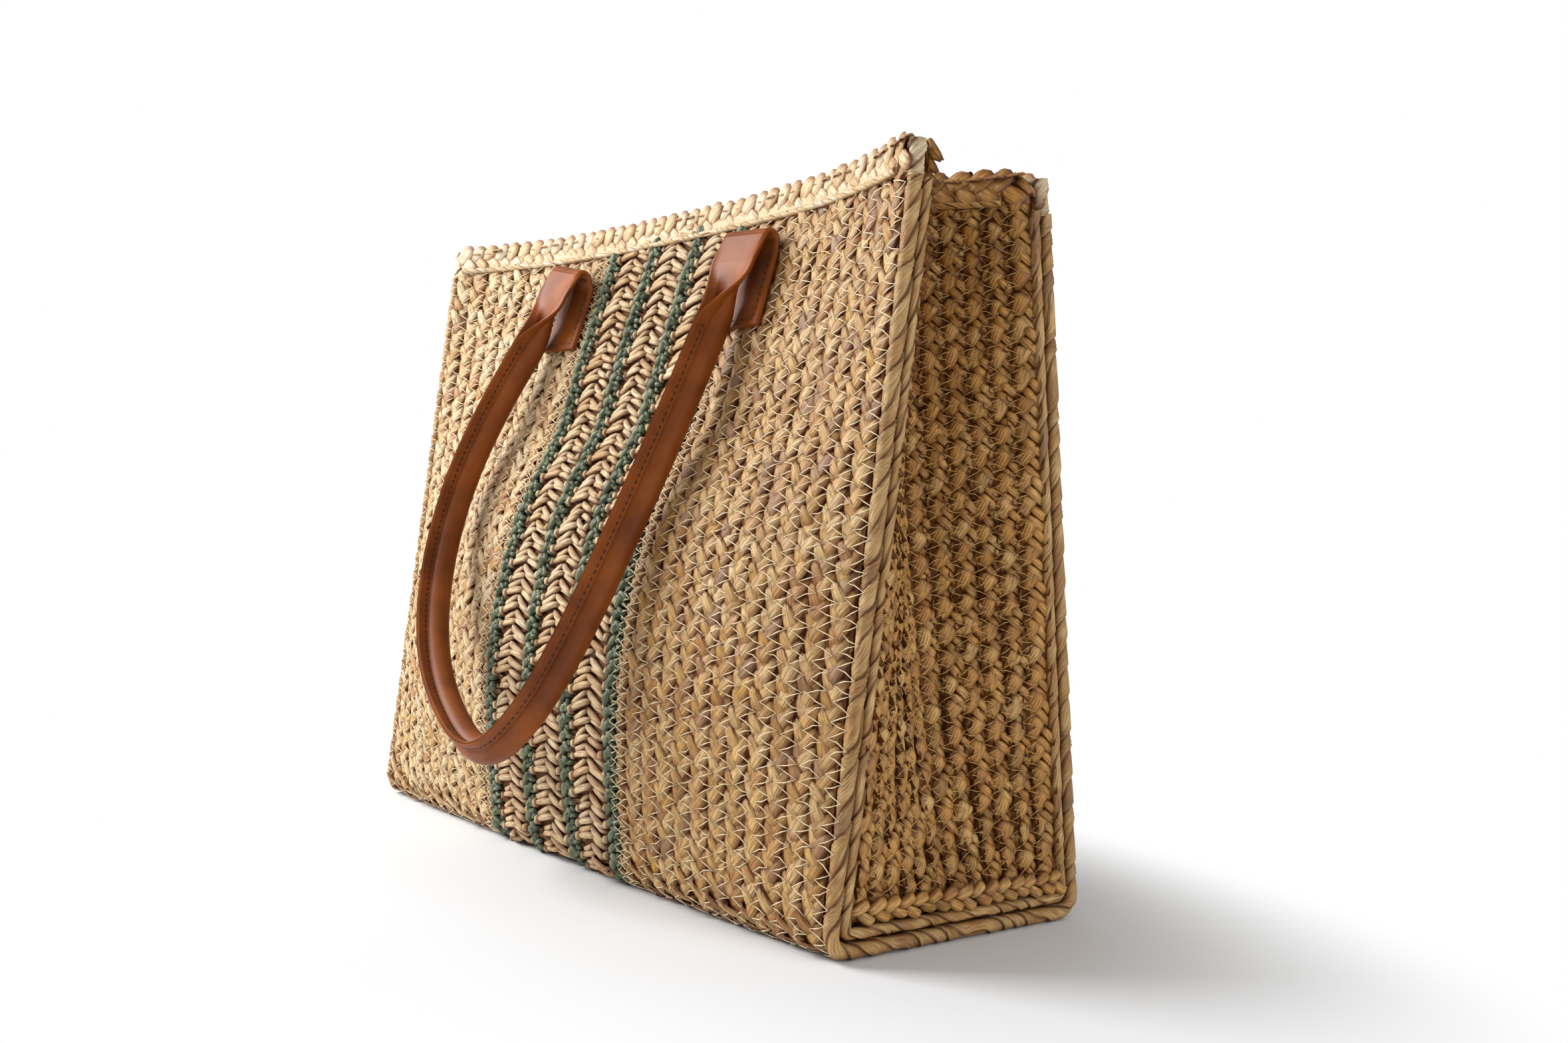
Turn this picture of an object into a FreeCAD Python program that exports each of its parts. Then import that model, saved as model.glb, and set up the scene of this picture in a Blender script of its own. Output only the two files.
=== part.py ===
import FreeCAD, Part
import Sketcher
import math
import os

# A plaited straw beach tote with rolled leather handles, in millimetres. The origin is the
# bottom centre on the floor, X runs along the bag, the front faces -Y and +Z is up.
# One strip of plaited rows, sewn side by side, makes the front, the rounded bottom and the
# back. A pleated gusset closes each end, and a folded plait binds the mouth.

os.makedirs("parts", exist_ok=True)
doc = FreeCAD.newDocument("straw_tote")
sheet = doc.addObject("Spreadsheet::Sheet", "sizes")

SIZES = [
    ("rim_height", 357.0),
    ("bottom_radius", 16.0),
    ("fit_gap", 0.3),
    ("front_base_depth", 86.0),
    ("front_mouth_depth", 60.0),
    ("front_rim_bow", 33.0),
    ("front_belly", 21.0),
    ("back_base_depth", 84.0),
    ("back_mouth_depth", 31.0),
    ("back_rim_bow", 8.0),
    ("back_belly", 12.0),
    ("belly_reach", 0.66),
    ("raffia_band_width", 32.0),
    ("green_cord_width", 8.0),
    ("edge_row_width", 9.0),
    ("braid_field_width", 134.0),
    ("straw_thickness", 5.0),
    ("raffia_thickness", 4.0),
    ("side_cord_diameter", 8.0),
    ("gusset_cord_diameter", 6.0),
    ("gusset_thickness", 4.5),
    ("gusset_fold_depth", 62.0),
    ("gusset_hem_height", 10.0),
    ("gusset_hem_thickness", 3.5),
    ("binding_height", 17.0),
    ("binding_thickness", 3.0),
    ("handle_spacing", 172.0),
    ("handle_fold_drop", 29.0),
    ("handle_lean", 19.5),
    ("handle_diameter", 14.0),
    ("handle_cover_thickness", 2.0),
    ("seam_flange_width", 6.0),
    ("seam_flange_thickness", 2.4),
    ("strap_width", 33.0),
    ("strap_thickness", 4.0),
    ("strap_length", 40.0),
    ("fold_diameter", 12.0),
    ("tab_length", 45.0),
    ("tab_thickness", 3.5),
    ("backing_width", 29.0),
    ("backing_thickness", 1.6),
]
for row, (name, value) in enumerate(SIZES, start=1):
    sheet.set(f"A{row}", name)
    sheet.set(f"B{row}", str(value))
    sheet.setAlias(f"B{row}", name)
doc.recompute()


def size(name):
    return float(sheet.get(name))


def point(x, y, z):
    return FreeCAD.Vector(x, y, z)


def add_shape(label, shape):
    """Keep a shape as a sub-part of the document, under the name of its file."""
    feature = doc.addObject("Part::Feature", label)
    feature.Label = label
    feature.Shape = shape
    subparts.append(feature)
    return feature


subparts = []
gap = size("fit_gap")
rim = size("rim_height")
wall_top = rim - size("binding_thickness") - gap

# The strip's pieces from its middle outwards, as the X of each piece's edges.
band = size("raffia_band_width")
cord_width = size("green_cord_width")
inner_cord_x = band / 2
outer_cord_x = inner_cord_x + cord_width + band
edge_row_x = outer_cord_x + cord_width
field_x = edge_row_x + size("edge_row_width")
strip_half = field_x + size("braid_field_width")

# The shape of the two long walls as the bag stands: leaning in towards the mouth, pressed
# inwards at the middle of the rim and bellied outwards low down.
FRONT = {"side": -1, "base": size("front_base_depth"), "mouth": size("front_mouth_depth"),
         "bow": size("front_rim_bow"), "belly": size("front_belly")}
BACK = {"side": 1, "base": size("back_base_depth"), "mouth": size("back_mouth_depth"),
        "bow": size("back_rim_bow"), "belly": size("back_belly")}
BOW_START = 0.5
BOW_POWER = 1.3
EDGE_POWER = 3
FIELD_SPAN_COUNT = 5
WALL_SPAN_COUNT = 7


def spread(start, end, spans):
    return [start + (end - start) * i / spans for i in range(spans + 1)]


# Every piece on a long wall is straight between the same stations in X, so that they match.
HALF_STATIONS = [0.0, inner_cord_x, inner_cord_x + cord_width, outer_cord_x, edge_row_x]
HALF_STATIONS += spread(field_x, strip_half, FIELD_SPAN_COUNT)


def stations_between(start, end):
    """The two ends of a stretch of wall, with the stations that lie between them."""
    stations = HALF_STATIONS + [-x for x in HALF_STATIONS[1:]]
    return [start] + sorted(x for x in stations if start + gap < x < end - gap) + [end]


def edge_depth(face, height):
    """Distance from the middle plane to a long wall's outside, along its side edges."""
    return face["base"] + (face["mouth"] - face["base"]) * height / rim


def middle_share(x):
    """How fully the bow and the belly are felt: one mid-wall, falling to none at the edges."""
    shares = [1.0 - (station / strip_half) ** EDGE_POWER for station in HALF_STATIONS]
    x = min(abs(x), strip_half)
    for i in range(len(HALF_STATIONS) - 1):
        near, far = HALF_STATIONS[i], HALF_STATIONS[i + 1]
        if x <= far:
            return shares[i] + (shares[i + 1] - shares[i]) * (x - near) / (far - near)
    return 0.0


def wall_curve(face, x):
    """The outside of a long wall at one X, as a curve whose parameter is the height."""
    points = []
    heights = spread(size("bottom_radius"), rim, WALL_SPAN_COUNT)
    for height in heights:
        share = height / rim
        belly = face["belly"] * math.sin(math.pi * min(share / size("belly_reach"), 1.0))
        bow = face["bow"] * max(0.0, (share - BOW_START) / (1.0 - BOW_START)) ** BOW_POWER
        depth = edge_depth(face, height) + (belly - bow) * middle_share(x)
        points.append(point(x, face["side"] * depth, height))
    curve = Part.BSplineCurve()
    curve.interpolate(Points=points, Parameters=heights)
    return curve


def wall_depth(face, x, height):
    """Distance from the middle plane to a long wall's outside, anywhere on it."""
    return face["side"] * wall_curve(face, x).value(height).y


def wall_point(face, x, height, inset):
    return point(x, face["side"] * (wall_depth(face, x, height) - inset), height)


def wall_line(face, x, inset, low, high):
    """A stretch of the wall's curve between two heights, moved inwards by an inset."""
    line = wall_curve(face, x).toShape(low, high)
    line.translate(point(0.0, -face["side"] * inset, 0.0))
    return line


def strip_section(x, thickness):
    """The closed outline of the strip at one X: down the front, round the bottom, up the back."""
    radius = size("bottom_radius")

    def corner(face, inset, downwards):
        centre_y = wall_depth(face, x, radius) - radius
        reach = radius - inset
        ends = []
        for angle in (0.0, math.pi / 4, math.pi / 2):
            y = face["side"] * (centre_y + reach * math.cos(angle))
            ends.append(point(x, y, radius - reach * math.sin(angle)))
        if not downwards:
            ends.reverse()
        return Part.Arc(*ends).toShape()

    def line(start, end):
        return Part.makeLine(start, end)

    def floor_point(face, inset):
        centre_y = wall_depth(face, x, radius) - radius
        return point(x, face["side"] * centre_y, inset)

    edges = [
        wall_line(FRONT, x, 0.0, radius, wall_top),
        corner(FRONT, 0.0, True),
        line(floor_point(FRONT, 0.0), floor_point(BACK, 0.0)),
        corner(BACK, 0.0, False),
        wall_line(BACK, x, 0.0, radius, wall_top),
        line(wall_point(BACK, x, wall_top, 0.0), wall_point(BACK, x, wall_top, thickness)),
        wall_line(BACK, x, thickness, radius, wall_top),
        corner(BACK, thickness, True),
        line(floor_point(BACK, thickness), floor_point(FRONT, thickness)),
        corner(FRONT, thickness, False),
        wall_line(FRONT, x, thickness, radius, wall_top),
        line(wall_point(FRONT, x, wall_top, thickness), wall_point(FRONT, x, wall_top, 0.0)),
    ]
    return Part.Wire(edges)


def level_faces_as_planes(solid):
    """The same solid, with the lofted faces that lie level remade as true planes."""
    faces = []
    for face in solid.Faces:
        if face.BoundBox.ZLength < gap / 100:
            corners = [vertex.Point for vertex in face.OuterWire.OrderedVertexes]
            plane = Part.Face(Part.makePolygon(corners + corners[:1]))
            if plane.normalAt(0, 0).z * face.normalAt(0, 0).z < 0:
                plane.reverse()
            face = plane
        faces.append(face)
    shell = Part.Shell(faces)
    shell.sewShape()
    return Part.Solid(shell).removeSplitter()


def strip_piece(label, start, end, thickness):
    sections = [strip_section(x, thickness) for x in stations_between(start, end)]
    return add_shape(label, level_faces_as_planes(Part.makeLoft(sections, True, True)))


# Plaited straw fields, sewn row to row, outside the coloured band.
straw = size("straw_thickness")
strip_piece("right_braid_field", field_x, strip_half, straw)
strip_piece("left_braid_field", -strip_half, -field_x, straw)

# One narrow, closely stitched row of straw along each edge of the coloured band.
strip_piece("right_edge_row", edge_row_x, field_x, straw)
strip_piece("left_edge_row", -field_x, -edge_row_x, straw)

# Three bands of paper raffia between four crocheted green cords.
raffia = size("raffia_thickness")
strip_piece("centre_raffia_band", -inner_cord_x, inner_cord_x, raffia)
strip_piece("right_raffia_band", inner_cord_x + cord_width, outer_cord_x, raffia)
strip_piece("left_raffia_band", -outer_cord_x, -inner_cord_x - cord_width, raffia)
strip_piece("green_cord_1", -edge_row_x, -outer_cord_x, straw)
strip_piece("green_cord_2", -inner_cord_x - cord_width, -inner_cord_x, straw)
strip_piece("green_cord_3", inner_cord_x, inner_cord_x + cord_width, straw)
strip_piece("green_cord_4", outer_cord_x, edge_row_x, straw)


# A path of straight runs with a tangent arc at each turn. An arc is as large as its two
# runs allow, unless a radius is given.
RUN_SHARE = 0.45


def rounded_path(points, radius=None):
    edges = []
    start = points[0]
    for before, turn, after in zip(points, points[1:], points[2:]):
        back = before - turn
        ahead = after - turn
        half_turn = (math.pi - back.getAngle(ahead)) / 2
        tangent = RUN_SHARE * min(back.Length, ahead.Length)
        if radius is not None:
            tangent = min(tangent, radius * math.tan(half_turn))
        arc_radius = tangent / math.tan(half_turn)
        back.normalize()
        ahead.normalize()
        inward = back + ahead
        inward.normalize()
        first = turn + back * tangent
        last = turn + ahead * tangent
        middle = turn + inward * (arc_radius / math.cos(half_turn) - arc_radius)
        edges.append(Part.makeLine(start, first))
        edges.append(Part.Arc(first, middle, last).toShape())
        start = last
    edges.append(Part.makeLine(start, points[-1]))
    return Part.Wire(edges)


def round_tube(path, radius):
    """A solid round tube along a path of tangent runs and arcs."""
    first = path.Edges[0]
    start = first.valueAt(first.FirstParameter)
    along = first.tangentAt(first.FirstParameter)
    circle = Part.Wire(Part.makeCircle(radius, start, along))
    return path.makePipeShell([circle], True, False)


def edge_path(x, inset, top, corner_radius):
    """The line that a cord follows down the front edge, along the floor and up the back."""
    corners = [
        point(x, -(edge_depth(FRONT, top) - inset), top),
        point(x, -(edge_depth(FRONT, inset) - inset), inset),
        point(x, edge_depth(BACK, inset) - inset, inset),
        point(x, edge_depth(BACK, top) - inset, top),
    ]
    return rounded_path(corners, corner_radius)


# Straw-wrapped cords: one sewn along each side edge of the strip, and a thinner one beside
# it round the front, bottom and back edges of each gusset.
side_radius = size("side_cord_diameter") / 2
gusset_cord_radius = size("gusset_cord_diameter") / 2
cord_slope = (size("back_base_depth") - size("back_mouth_depth")) / rim
cord_top = rim - size("binding_height") - gap - side_radius * cord_slope
side_cord_x = strip_half + gap + side_radius
gusset_cord_inset = 2 * side_radius + gap + gusset_cord_radius
gusset_face_x = side_cord_x + side_radius / 4
inner_corner = gusset_cord_radius + gap
outer_corner = inner_corner + gusset_cord_radius + gap + side_radius
for label, side in (("right", 1), ("left", -1)):
    path = edge_path(side * side_cord_x, side_radius, cord_top, outer_corner)
    add_shape(f"{label}_side_cord", round_tube(path, side_radius))
    path = edge_path(side * side_cord_x, gusset_cord_inset, cord_top, inner_corner)
    add_shape(f"{label}_gusset_cord", round_tube(path, gusset_cord_radius))


# The gusset: flat along its hem and pleated inwards towards the mouth. Its edges keep clear
# of the cords.
gusset_edge_inset = gusset_cord_inset + gusset_cord_radius + gap
gusset_foot = gusset_edge_inset
FOLD_POWER = 0.65
FOLD_BLUNTNESS = 0.12


def offset_line(points, distance):
    """Move an open line sideways by a distance, with mitred turns, in its level plane.

    The two ends slide along X, so that they stay in the planes where they end.
    """
    moved = []
    last = len(points) - 1
    for i, here in enumerate(points):
        arriving = here - points[i - 1] if i > 0 else points[1] - here
        leaving = points[i + 1] - here if i < last else here - points[last - 1]
        half = abs(arriving.getAngle(leaving)) / 2
        direction = arriving.normalize() + leaving.normalize()
        direction.normalize()
        normal = point(-direction.y, direction.x, 0.0)
        if i in (0, last):
            moved.append(here + point(distance / normal.x, 0.0, 0.0))
        else:
            moved.append(here + normal * (distance / math.cos(half)))
    return moved


def gusset_line(side, height):
    """The gusset's outer face at one height, from its front edge to its back edge."""
    share = max(0.0, (height - gusset_foot) / (rim - gusset_foot))
    depth = size("gusset_fold_depth") * share ** FOLD_POWER
    front = -(edge_depth(FRONT, height) - gusset_edge_inset)
    back = edge_depth(BACK, height) - gusset_edge_inset
    blunt = FOLD_BLUNTNESS / 2
    line = []
    for across, inwards in ((0.0, 0.0), (0.5 - blunt, 1.0), (0.5 + blunt, 1.0), (1.0, 0.0)):
        x = side * (gusset_face_x - depth * inwards)
        line.append(point(x, front + (back - front) * across, height))
    return line


def gusset_section(side, height, outside, inside, overrun=0.0):
    """The gusset's outline at one height. An overrun carries both its legs on past their ends."""
    line = gusset_line(side, height)
    outer = offset_line(line, -side * outside)
    inner = offset_line(line, side * inside)
    for edge in (outer, inner):
        for end, beside in ((0, 1), (-1, -2)):
            along = edge[end] - edge[beside]
            edge[end] = edge[end] + along.normalize() * overrun
    corners = outer + inner[::-1]
    return Part.makePolygon(corners + corners[:1])


GUSSET_SPAN_COUNT = 6


def gusset_wall(side, low, high, outside, inside, overrun=0.0, spans=GUSSET_SPAN_COUNT):
    levels = spread(low, high, spans)
    sections = [gusset_section(side, level, outside, inside, overrun) for level in levels]
    return Part.makeLoft(sections, True, True)


binding = size("binding_thickness")
binding_foot = rim - size("binding_height")
gusset_thickness = size("gusset_thickness")
for label, side in (("right", 1), ("left", -1)):
    add_shape(f"{label}_gusset", gusset_wall(side, gusset_foot, wall_top, 0.0, gusset_thickness))
    folded = gusset_wall(side, binding_foot, rim, gap + binding,
                         gusset_thickness + gap + binding, 0.0, 1)
    slot = gusset_wall(side, binding_foot - binding, wall_top + gap, gap,
                       gusset_thickness + gap, binding, 1)
    add_shape(f"{label}_gusset_binding", folded.cut(slot))


# A flat three-strand plait hems the bottom of each gusset.
def plane_of(body, role):
    for feature in body.Origin.OriginFeatures:
        if feature.Role == role:
            return feature
    raise ValueError(role)


hem_top = gusset_foot + size("gusset_hem_height")
hem_front = edge_depth(FRONT, hem_top) - gusset_edge_inset
hem_back = edge_depth(BACK, hem_top) - gusset_edge_inset
for label, side in (("right", 1), ("left", -1)):
    body = doc.addObject("PartDesign::Body", f"{label}_gusset_hem")
    body.Label = f"{label}_gusset_hem"
    sketch = body.newObject("Sketcher::SketchObject", f"{label}_hem_outline")
    sketch.AttachmentSupport = [(plane_of(body, "XY_Plane"), "")]
    sketch.MapMode = "FlatFace"
    corners = [point(0, 0, 0), point(1, 0, 0), point(1, 1, 0), point(0, 1, 0)]
    for start, end in zip(corners, corners[1:] + corners[:1]):
        sketch.addGeometry(Part.LineSegment(start, end), False)
    for i in range(4):
        sketch.addConstraint(Sketcher.Constraint("Coincident", i, 2, (i + 1) % 4, 1))
    for i in (0, 2):
        sketch.addConstraint(Sketcher.Constraint("Horizontal", i))
        sketch.addConstraint(Sketcher.Constraint("Vertical", i + 1))
    sketch.addConstraint(Sketcher.Constraint("Coincident", 0, 1, -1, 1))
    width = sketch.addConstraint(Sketcher.Constraint("DistanceX", 0, 1, 0, 2, 1.0))
    length = sketch.addConstraint(Sketcher.Constraint("DistanceY", 1, 1, 1, 2, 1.0))
    sketch.setExpression(f"Constraints[{width}]", "sizes.gusset_hem_thickness")
    sketch.setDatum(length, hem_front + hem_back)
    pad = body.newObject("PartDesign::Pad", f"{label}_hem_pad")
    pad.Profile = sketch
    pad.setExpression("Length", "sizes.gusset_hem_height")
    inner_face = gusset_face_x + gap
    corner_x = inner_face if side > 0 else -inner_face - size("gusset_hem_thickness")
    body.Placement.Base = point(corner_x, -hem_front, gusset_foot)
    subparts.append(body)


# The mouth binding of each long wall: one plait folded over the rim.
def binding_section(face, x):
    outer = -(gap + binding)
    outer_slot = -gap
    inner_slot = straw + gap
    inner = straw + gap + binding
    slot_top = wall_top + gap
    corners = [
        wall_point(face, x, binding_foot, outer),
        wall_point(face, x, rim, outer),
        wall_point(face, x, rim, inner),
        wall_point(face, x, binding_foot, inner),
        wall_point(face, x, binding_foot, inner_slot),
        wall_point(face, x, slot_top, inner_slot),
        wall_point(face, x, slot_top, outer_slot),
        wall_point(face, x, binding_foot, outer_slot),
    ]
    return Part.makePolygon(corners + corners[:1])


binding_end = side_cord_x + side_radius
for label, face in (("front", FRONT), ("back", BACK)):
    stations = stations_between(-binding_end, binding_end)
    sections = [binding_section(face, x) for x in stations]
    add_shape(f"{label}_rim_binding", Part.makeLoft(sections, True, True))


# Leather tabs, sewn through the wall to a backing patch inside. The strap folds forward over
# a thick fold at the top of each tab, and the handle swings about that fold.
fold_radius = size("fold_diameter") / 2
fold_height = rim - size("handle_fold_drop")
attachment_x = size("handle_spacing") / 2


def wall_patch(face, x, width, low, high, outside, inside):
    """A flexible patch lying along a long wall, between two insets from its outside."""
    sections = []
    for across in stations_between(x - width / 2, x + width / 2):
        foot = Part.makeLine(wall_point(face, across, low, inside),
                             wall_point(face, across, low, outside))
        head = Part.makeLine(wall_point(face, across, high, outside),
                             wall_point(face, across, high, inside))
        outer = wall_line(face, across, outside, low, high)
        inner = wall_line(face, across, inside, low, high)
        sections.append(Part.Wire([foot, outer, head, inner]))
    return Part.makeLoft(sections, True, True)


def fold_centre_depth(face):
    """Distance of the fold's axis from the middle plane, clear of the wall all along it."""
    half_width = size("strap_width") / 2
    stations = stations_between(attachment_x - half_width, attachment_x + half_width)
    depths = [wall_depth(face, x, fold_height - fold_radius) for x in stations]
    return max(depths) + gap + fold_radius


def strap_fold(face, x):
    start = point(x - size("strap_width") / 2, face["side"] * fold_centre_depth(face), fold_height)
    return Part.makeCylinder(fold_radius, size("strap_width"), start, point(1, 0, 0))


tab_low = fold_height - size("tab_length")
for label, face in (("front", FRONT), ("back", BACK)):
    for end, x in (("right", attachment_x), ("left", -attachment_x)):
        plate = wall_patch(face, x, size("strap_width"), tab_low, fold_height,
                           -gap, -gap - size("tab_thickness"))
        add_shape(f"{label}_{end}_tab", plate.fuse(strap_fold(face, x)).removeSplitter())
        backing_low = tab_low + size("tab_thickness")
        backing = wall_patch(face, x, size("backing_width"), backing_low, fold_height,
                             straw + gap, straw + gap + size("backing_thickness"))
        add_shape(f"{label}_{end}_tab_backing", backing)


# The handles as they hang, in a flat loop hinged at the folds. The route is the tube's own
# line in that loop: X, and the distance below the folds.
LOOP_ROUTE = [
    (-112.0, 85.0),
    (-119.0, 132.0),
    (-109.0, 181.0),
    (-84.0, 226.0),
    (-45.0, 261.0),
    (18.0, 288.0),
    (48.0, 258.0),
    (62.0, 212.0),
    (70.0, 162.0),
    (77.0, 110.0),
]
STRAP_SPREAD = 12.0
lean = math.radians(size("handle_lean"))
tube_radius = size("handle_diameter") / 2
cover = size("handle_cover_thickness")
strap_start = fold_radius + gap
strap_end = strap_start + size("strap_length")


def handle(label, face):
    down = point(0.0, face["side"] * math.sin(lean), -math.cos(lean))
    outwards = point(0.0, face["side"] * math.cos(lean), math.sin(lean))
    hinge = point(0.0, face["side"] * fold_centre_depth(face), fold_height)

    def in_loop(x, drop):
        return hinge + point(x, 0.0, 0.0) + down * drop

    first = in_loop(-attachment_x - STRAP_SPREAD, strap_end)
    last = in_loop(attachment_x - STRAP_SPREAD / 3, strap_end)
    route = [first] + [in_loop(x, drop) for x, drop in LOOP_ROUTE] + [last]
    path = rounded_path(route)

    def strap(attachment, tube_end, along):
        """One end of the handle, from the flat strap at the fold to the round tube."""
        flat = in_loop(attachment, strap_start)
        middle = (flat + tube_end) * 0.5
        half_width = size("strap_width") / 2
        half_thickness = size("strap_thickness") / 2
        sections = []
        shapes = (
            (flat, half_width, half_thickness, down),
            (middle, (half_width + tube_radius) / 2, (half_thickness + tube_radius) / 2, down),
        )
        for centre, wide, thick, normal in shapes:
            across = centre + outwards.cross(normal) * wide
            sections.append(Part.Wire(Part.Ellipse(across, centre + outwards * thick, centre).toShape()))
        sections.append(Part.Wire(Part.makeCircle(tube_radius, tube_end, along)))
        return Part.makeLoft(sections, True, False)

    run_in = route[1] - route[0]
    run_out = route[-1] - route[-2]
    half_flange = size("seam_flange_thickness") / 2
    flange_reach = tube_radius + size("seam_flange_width")
    run_in.normalize()
    beside = outwards.cross(run_in)
    chord = math.sqrt(tube_radius ** 2 - half_flange ** 2)
    a = first + outwards * chord + beside * half_flange
    b = first + outwards * flange_reach + beside * half_flange
    c = first + outwards * flange_reach - beside * half_flange
    d = first + outwards * chord - beside * half_flange
    outline = Part.Wire([
        Part.makeLine(a, b),
        Part.makeLine(b, c),
        Part.makeLine(c, d),
        Part.Arc(d, first - outwards * tube_radius, a).toShape(),
    ])
    sweep = Part.BRepOffsetAPI.MakePipeShell(path)
    sweep.setBiNormalMode(outwards)
    sweep.add(outline)
    sweep.build()
    sweep.makeSolid()
    leather = sweep.shape()
    bore = round_tube(path, tube_radius - cover)
    leather = leather.cut(bore)
    leather = leather.fuse([strap(-attachment_x, first, run_in), strap(attachment_x, last, run_out)])
    add_shape(f"{label}_handle_cover", leather)
    add_shape(f"{label}_handle_core", round_tube(path, tube_radius - cover - gap))
    print(label, "handle route length", round(path.Length, 1), "hinge at", hinge)


handle("front", FRONT)
handle("back", BACK)

doc.recompute()
for item in doc.Objects:
    if "Invalid" in item.State or "Error" in item.State:
        raise RuntimeError(f"{item.Label} failed: {item.State}")
for item in subparts:
    if item.Shape.isNull() or not item.Shape.isValid():
        raise RuntimeError(f"{item.Label} has no valid shape")
for item in subparts:
    item.Shape.exportStep(f"parts/{item.Label}.step")
    box = item.Shape.BoundBox
    print(item.Label, len(item.Shape.Solids), round(item.Shape.Volume),
          [round(v, 1) for v in (box.XMin, box.YMin, box.ZMin, box.XMax, box.YMax, box.ZMax)])
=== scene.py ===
import math

import bpy
import numpy as np
from mathutils import Matrix, Vector


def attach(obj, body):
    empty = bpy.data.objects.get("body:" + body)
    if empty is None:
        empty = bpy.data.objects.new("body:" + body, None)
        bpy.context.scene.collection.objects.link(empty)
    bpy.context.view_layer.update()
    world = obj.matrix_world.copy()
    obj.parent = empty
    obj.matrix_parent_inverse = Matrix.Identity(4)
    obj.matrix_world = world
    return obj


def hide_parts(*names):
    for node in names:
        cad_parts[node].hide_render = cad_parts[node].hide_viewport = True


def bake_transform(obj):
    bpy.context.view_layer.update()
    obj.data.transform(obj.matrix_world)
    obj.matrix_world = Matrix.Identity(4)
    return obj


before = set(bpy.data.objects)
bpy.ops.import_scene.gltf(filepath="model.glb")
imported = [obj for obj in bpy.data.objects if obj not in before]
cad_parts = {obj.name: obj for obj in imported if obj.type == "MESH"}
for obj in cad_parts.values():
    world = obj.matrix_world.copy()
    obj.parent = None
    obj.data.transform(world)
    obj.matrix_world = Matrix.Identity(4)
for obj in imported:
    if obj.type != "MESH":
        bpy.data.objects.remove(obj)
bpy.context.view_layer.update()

# The long wall: one strip of narrow plaits, sewn side by side, that runs down the front, round
# the bottom and up the back. It stands by its own stiffness, leaning in towards the mouth,
# pressed inwards at the middle of the rim and bellied outwards low down.
MM = 0.001
RIM = 357.0
WALL_TOP = 353.7
CORNER = 16.0
BAND_WIDTH = 32.0
CORD_WIDTH = 8.0
EDGE_ROW_WIDTH = 9.0
FIELD_WIDTH = 134.0
CORD_X = (BAND_WIDTH + CORD_WIDTH) / 2
OUTER_CORD_X = CORD_X + BAND_WIDTH + CORD_WIDTH
EDGE_ROW_X = OUTER_CORD_X + (CORD_WIDTH + EDGE_ROW_WIDTH) / 2
FIELD_X = OUTER_CORD_X + CORD_WIDTH / 2 + EDGE_ROW_WIDTH
STRIP_HALF = FIELD_X + FIELD_WIDTH
FRONT = {"side": -1, "base": 86.0, "mouth": 60.0, "bow": 33.0, "belly": 21.0}
BACK = {"side": 1, "base": 84.0, "mouth": 31.0, "bow": 8.0, "belly": 12.0}
BELLY_REACH = 0.66
BOW_START = 0.5
BOW_POWER = 1.3
STRAW_THICKNESS = 5.0
TURN_STEPS = 8
FLOOR_STEPS = 34
LEAVES_RAISED = 3.2
THREADS_RAISED = 1.2


def edge_depth(face, z):
    return face["base"] + (face["mouth"] - face["base"]) * z / RIM


def wall_depth(face, x, z):
    """Distance in mm from the bag's middle plane to the outside of a long wall."""
    z = np.asarray(z, float)
    share = z / RIM
    belly = face["belly"] * np.sin(np.pi * np.minimum(share / BELLY_REACH, 1.0))
    bow = face["bow"] * np.maximum(0.0, (share - BOW_START) / (1.0 - BOW_START)) ** BOW_POWER
    middle = 1.0 - np.minimum(1.0, np.abs(x) / STRIP_HALF) ** 3
    return edge_depth(face, z) + (belly - bow) * middle


def strip_points(x, tops=(WALL_TOP, WALL_TOP), step=4.0):
    """Points in mm at one X: down the back wall, forward along the floor and up the front."""
    turn = np.linspace(0.0, math.pi / 2, TURN_STEPS)[1:]
    y, z = [], []
    for face, order, top in ((BACK, -1, tops[0]), (FRONT, 1, tops[1])):
        climb = np.linspace(CORNER, top, round((top - CORNER) / step))
        foot = float(wall_depth(face, x, CORNER)) - CORNER
        wall_y = face["side"] * wall_depth(face, x, climb)
        bend_y = face["side"] * (foot + CORNER * np.cos(turn))
        bend_z = CORNER - CORNER * np.sin(turn)
        y.append(np.concatenate([bend_y[::-1], wall_y])[::order])
        z.append(np.concatenate([bend_z[::-1], climb])[::order])
    floor = np.linspace(y[0][-1], y[1][0], FLOOR_STEPS)[1:-1]
    y = np.concatenate([y[0], floor, y[1]])
    z = np.concatenate([z[0], 0 * floor, z[1]])
    return np.column_stack([np.full_like(y, x), y, z])


def unit(vectors):
    return vectors / np.linalg.norm(vectors, axis=-1, keepdims=True)


def strip_line(x, inset=0.0, tops=(WALL_TOP, WALL_TOP)):
    """A line along the strip, and the direction that the wall faces at each of its points.

    Under the bag it is raised, so that what lies on it comes down about level with the floor.
    """
    points = strip_points(x, tops)
    across = strip_points(x + 1.0, tops) - strip_points(x - 1.0, tops)
    facing = unit(np.cross(across, np.gradient(points, axis=0)))
    points = points - facing * inset
    points[:, 2] = np.maximum(points[:, 2], LEAVES_RAISED if inset > 0 else THREADS_RAISED)
    return points, facing


def inner_line(x, inset, tops):
    """The same line on the inside of the strip, facing inwards, in the other direction."""
    points, facing = strip_line(x, inset, tops)
    return points[::-1], -facing[::-1]


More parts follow.
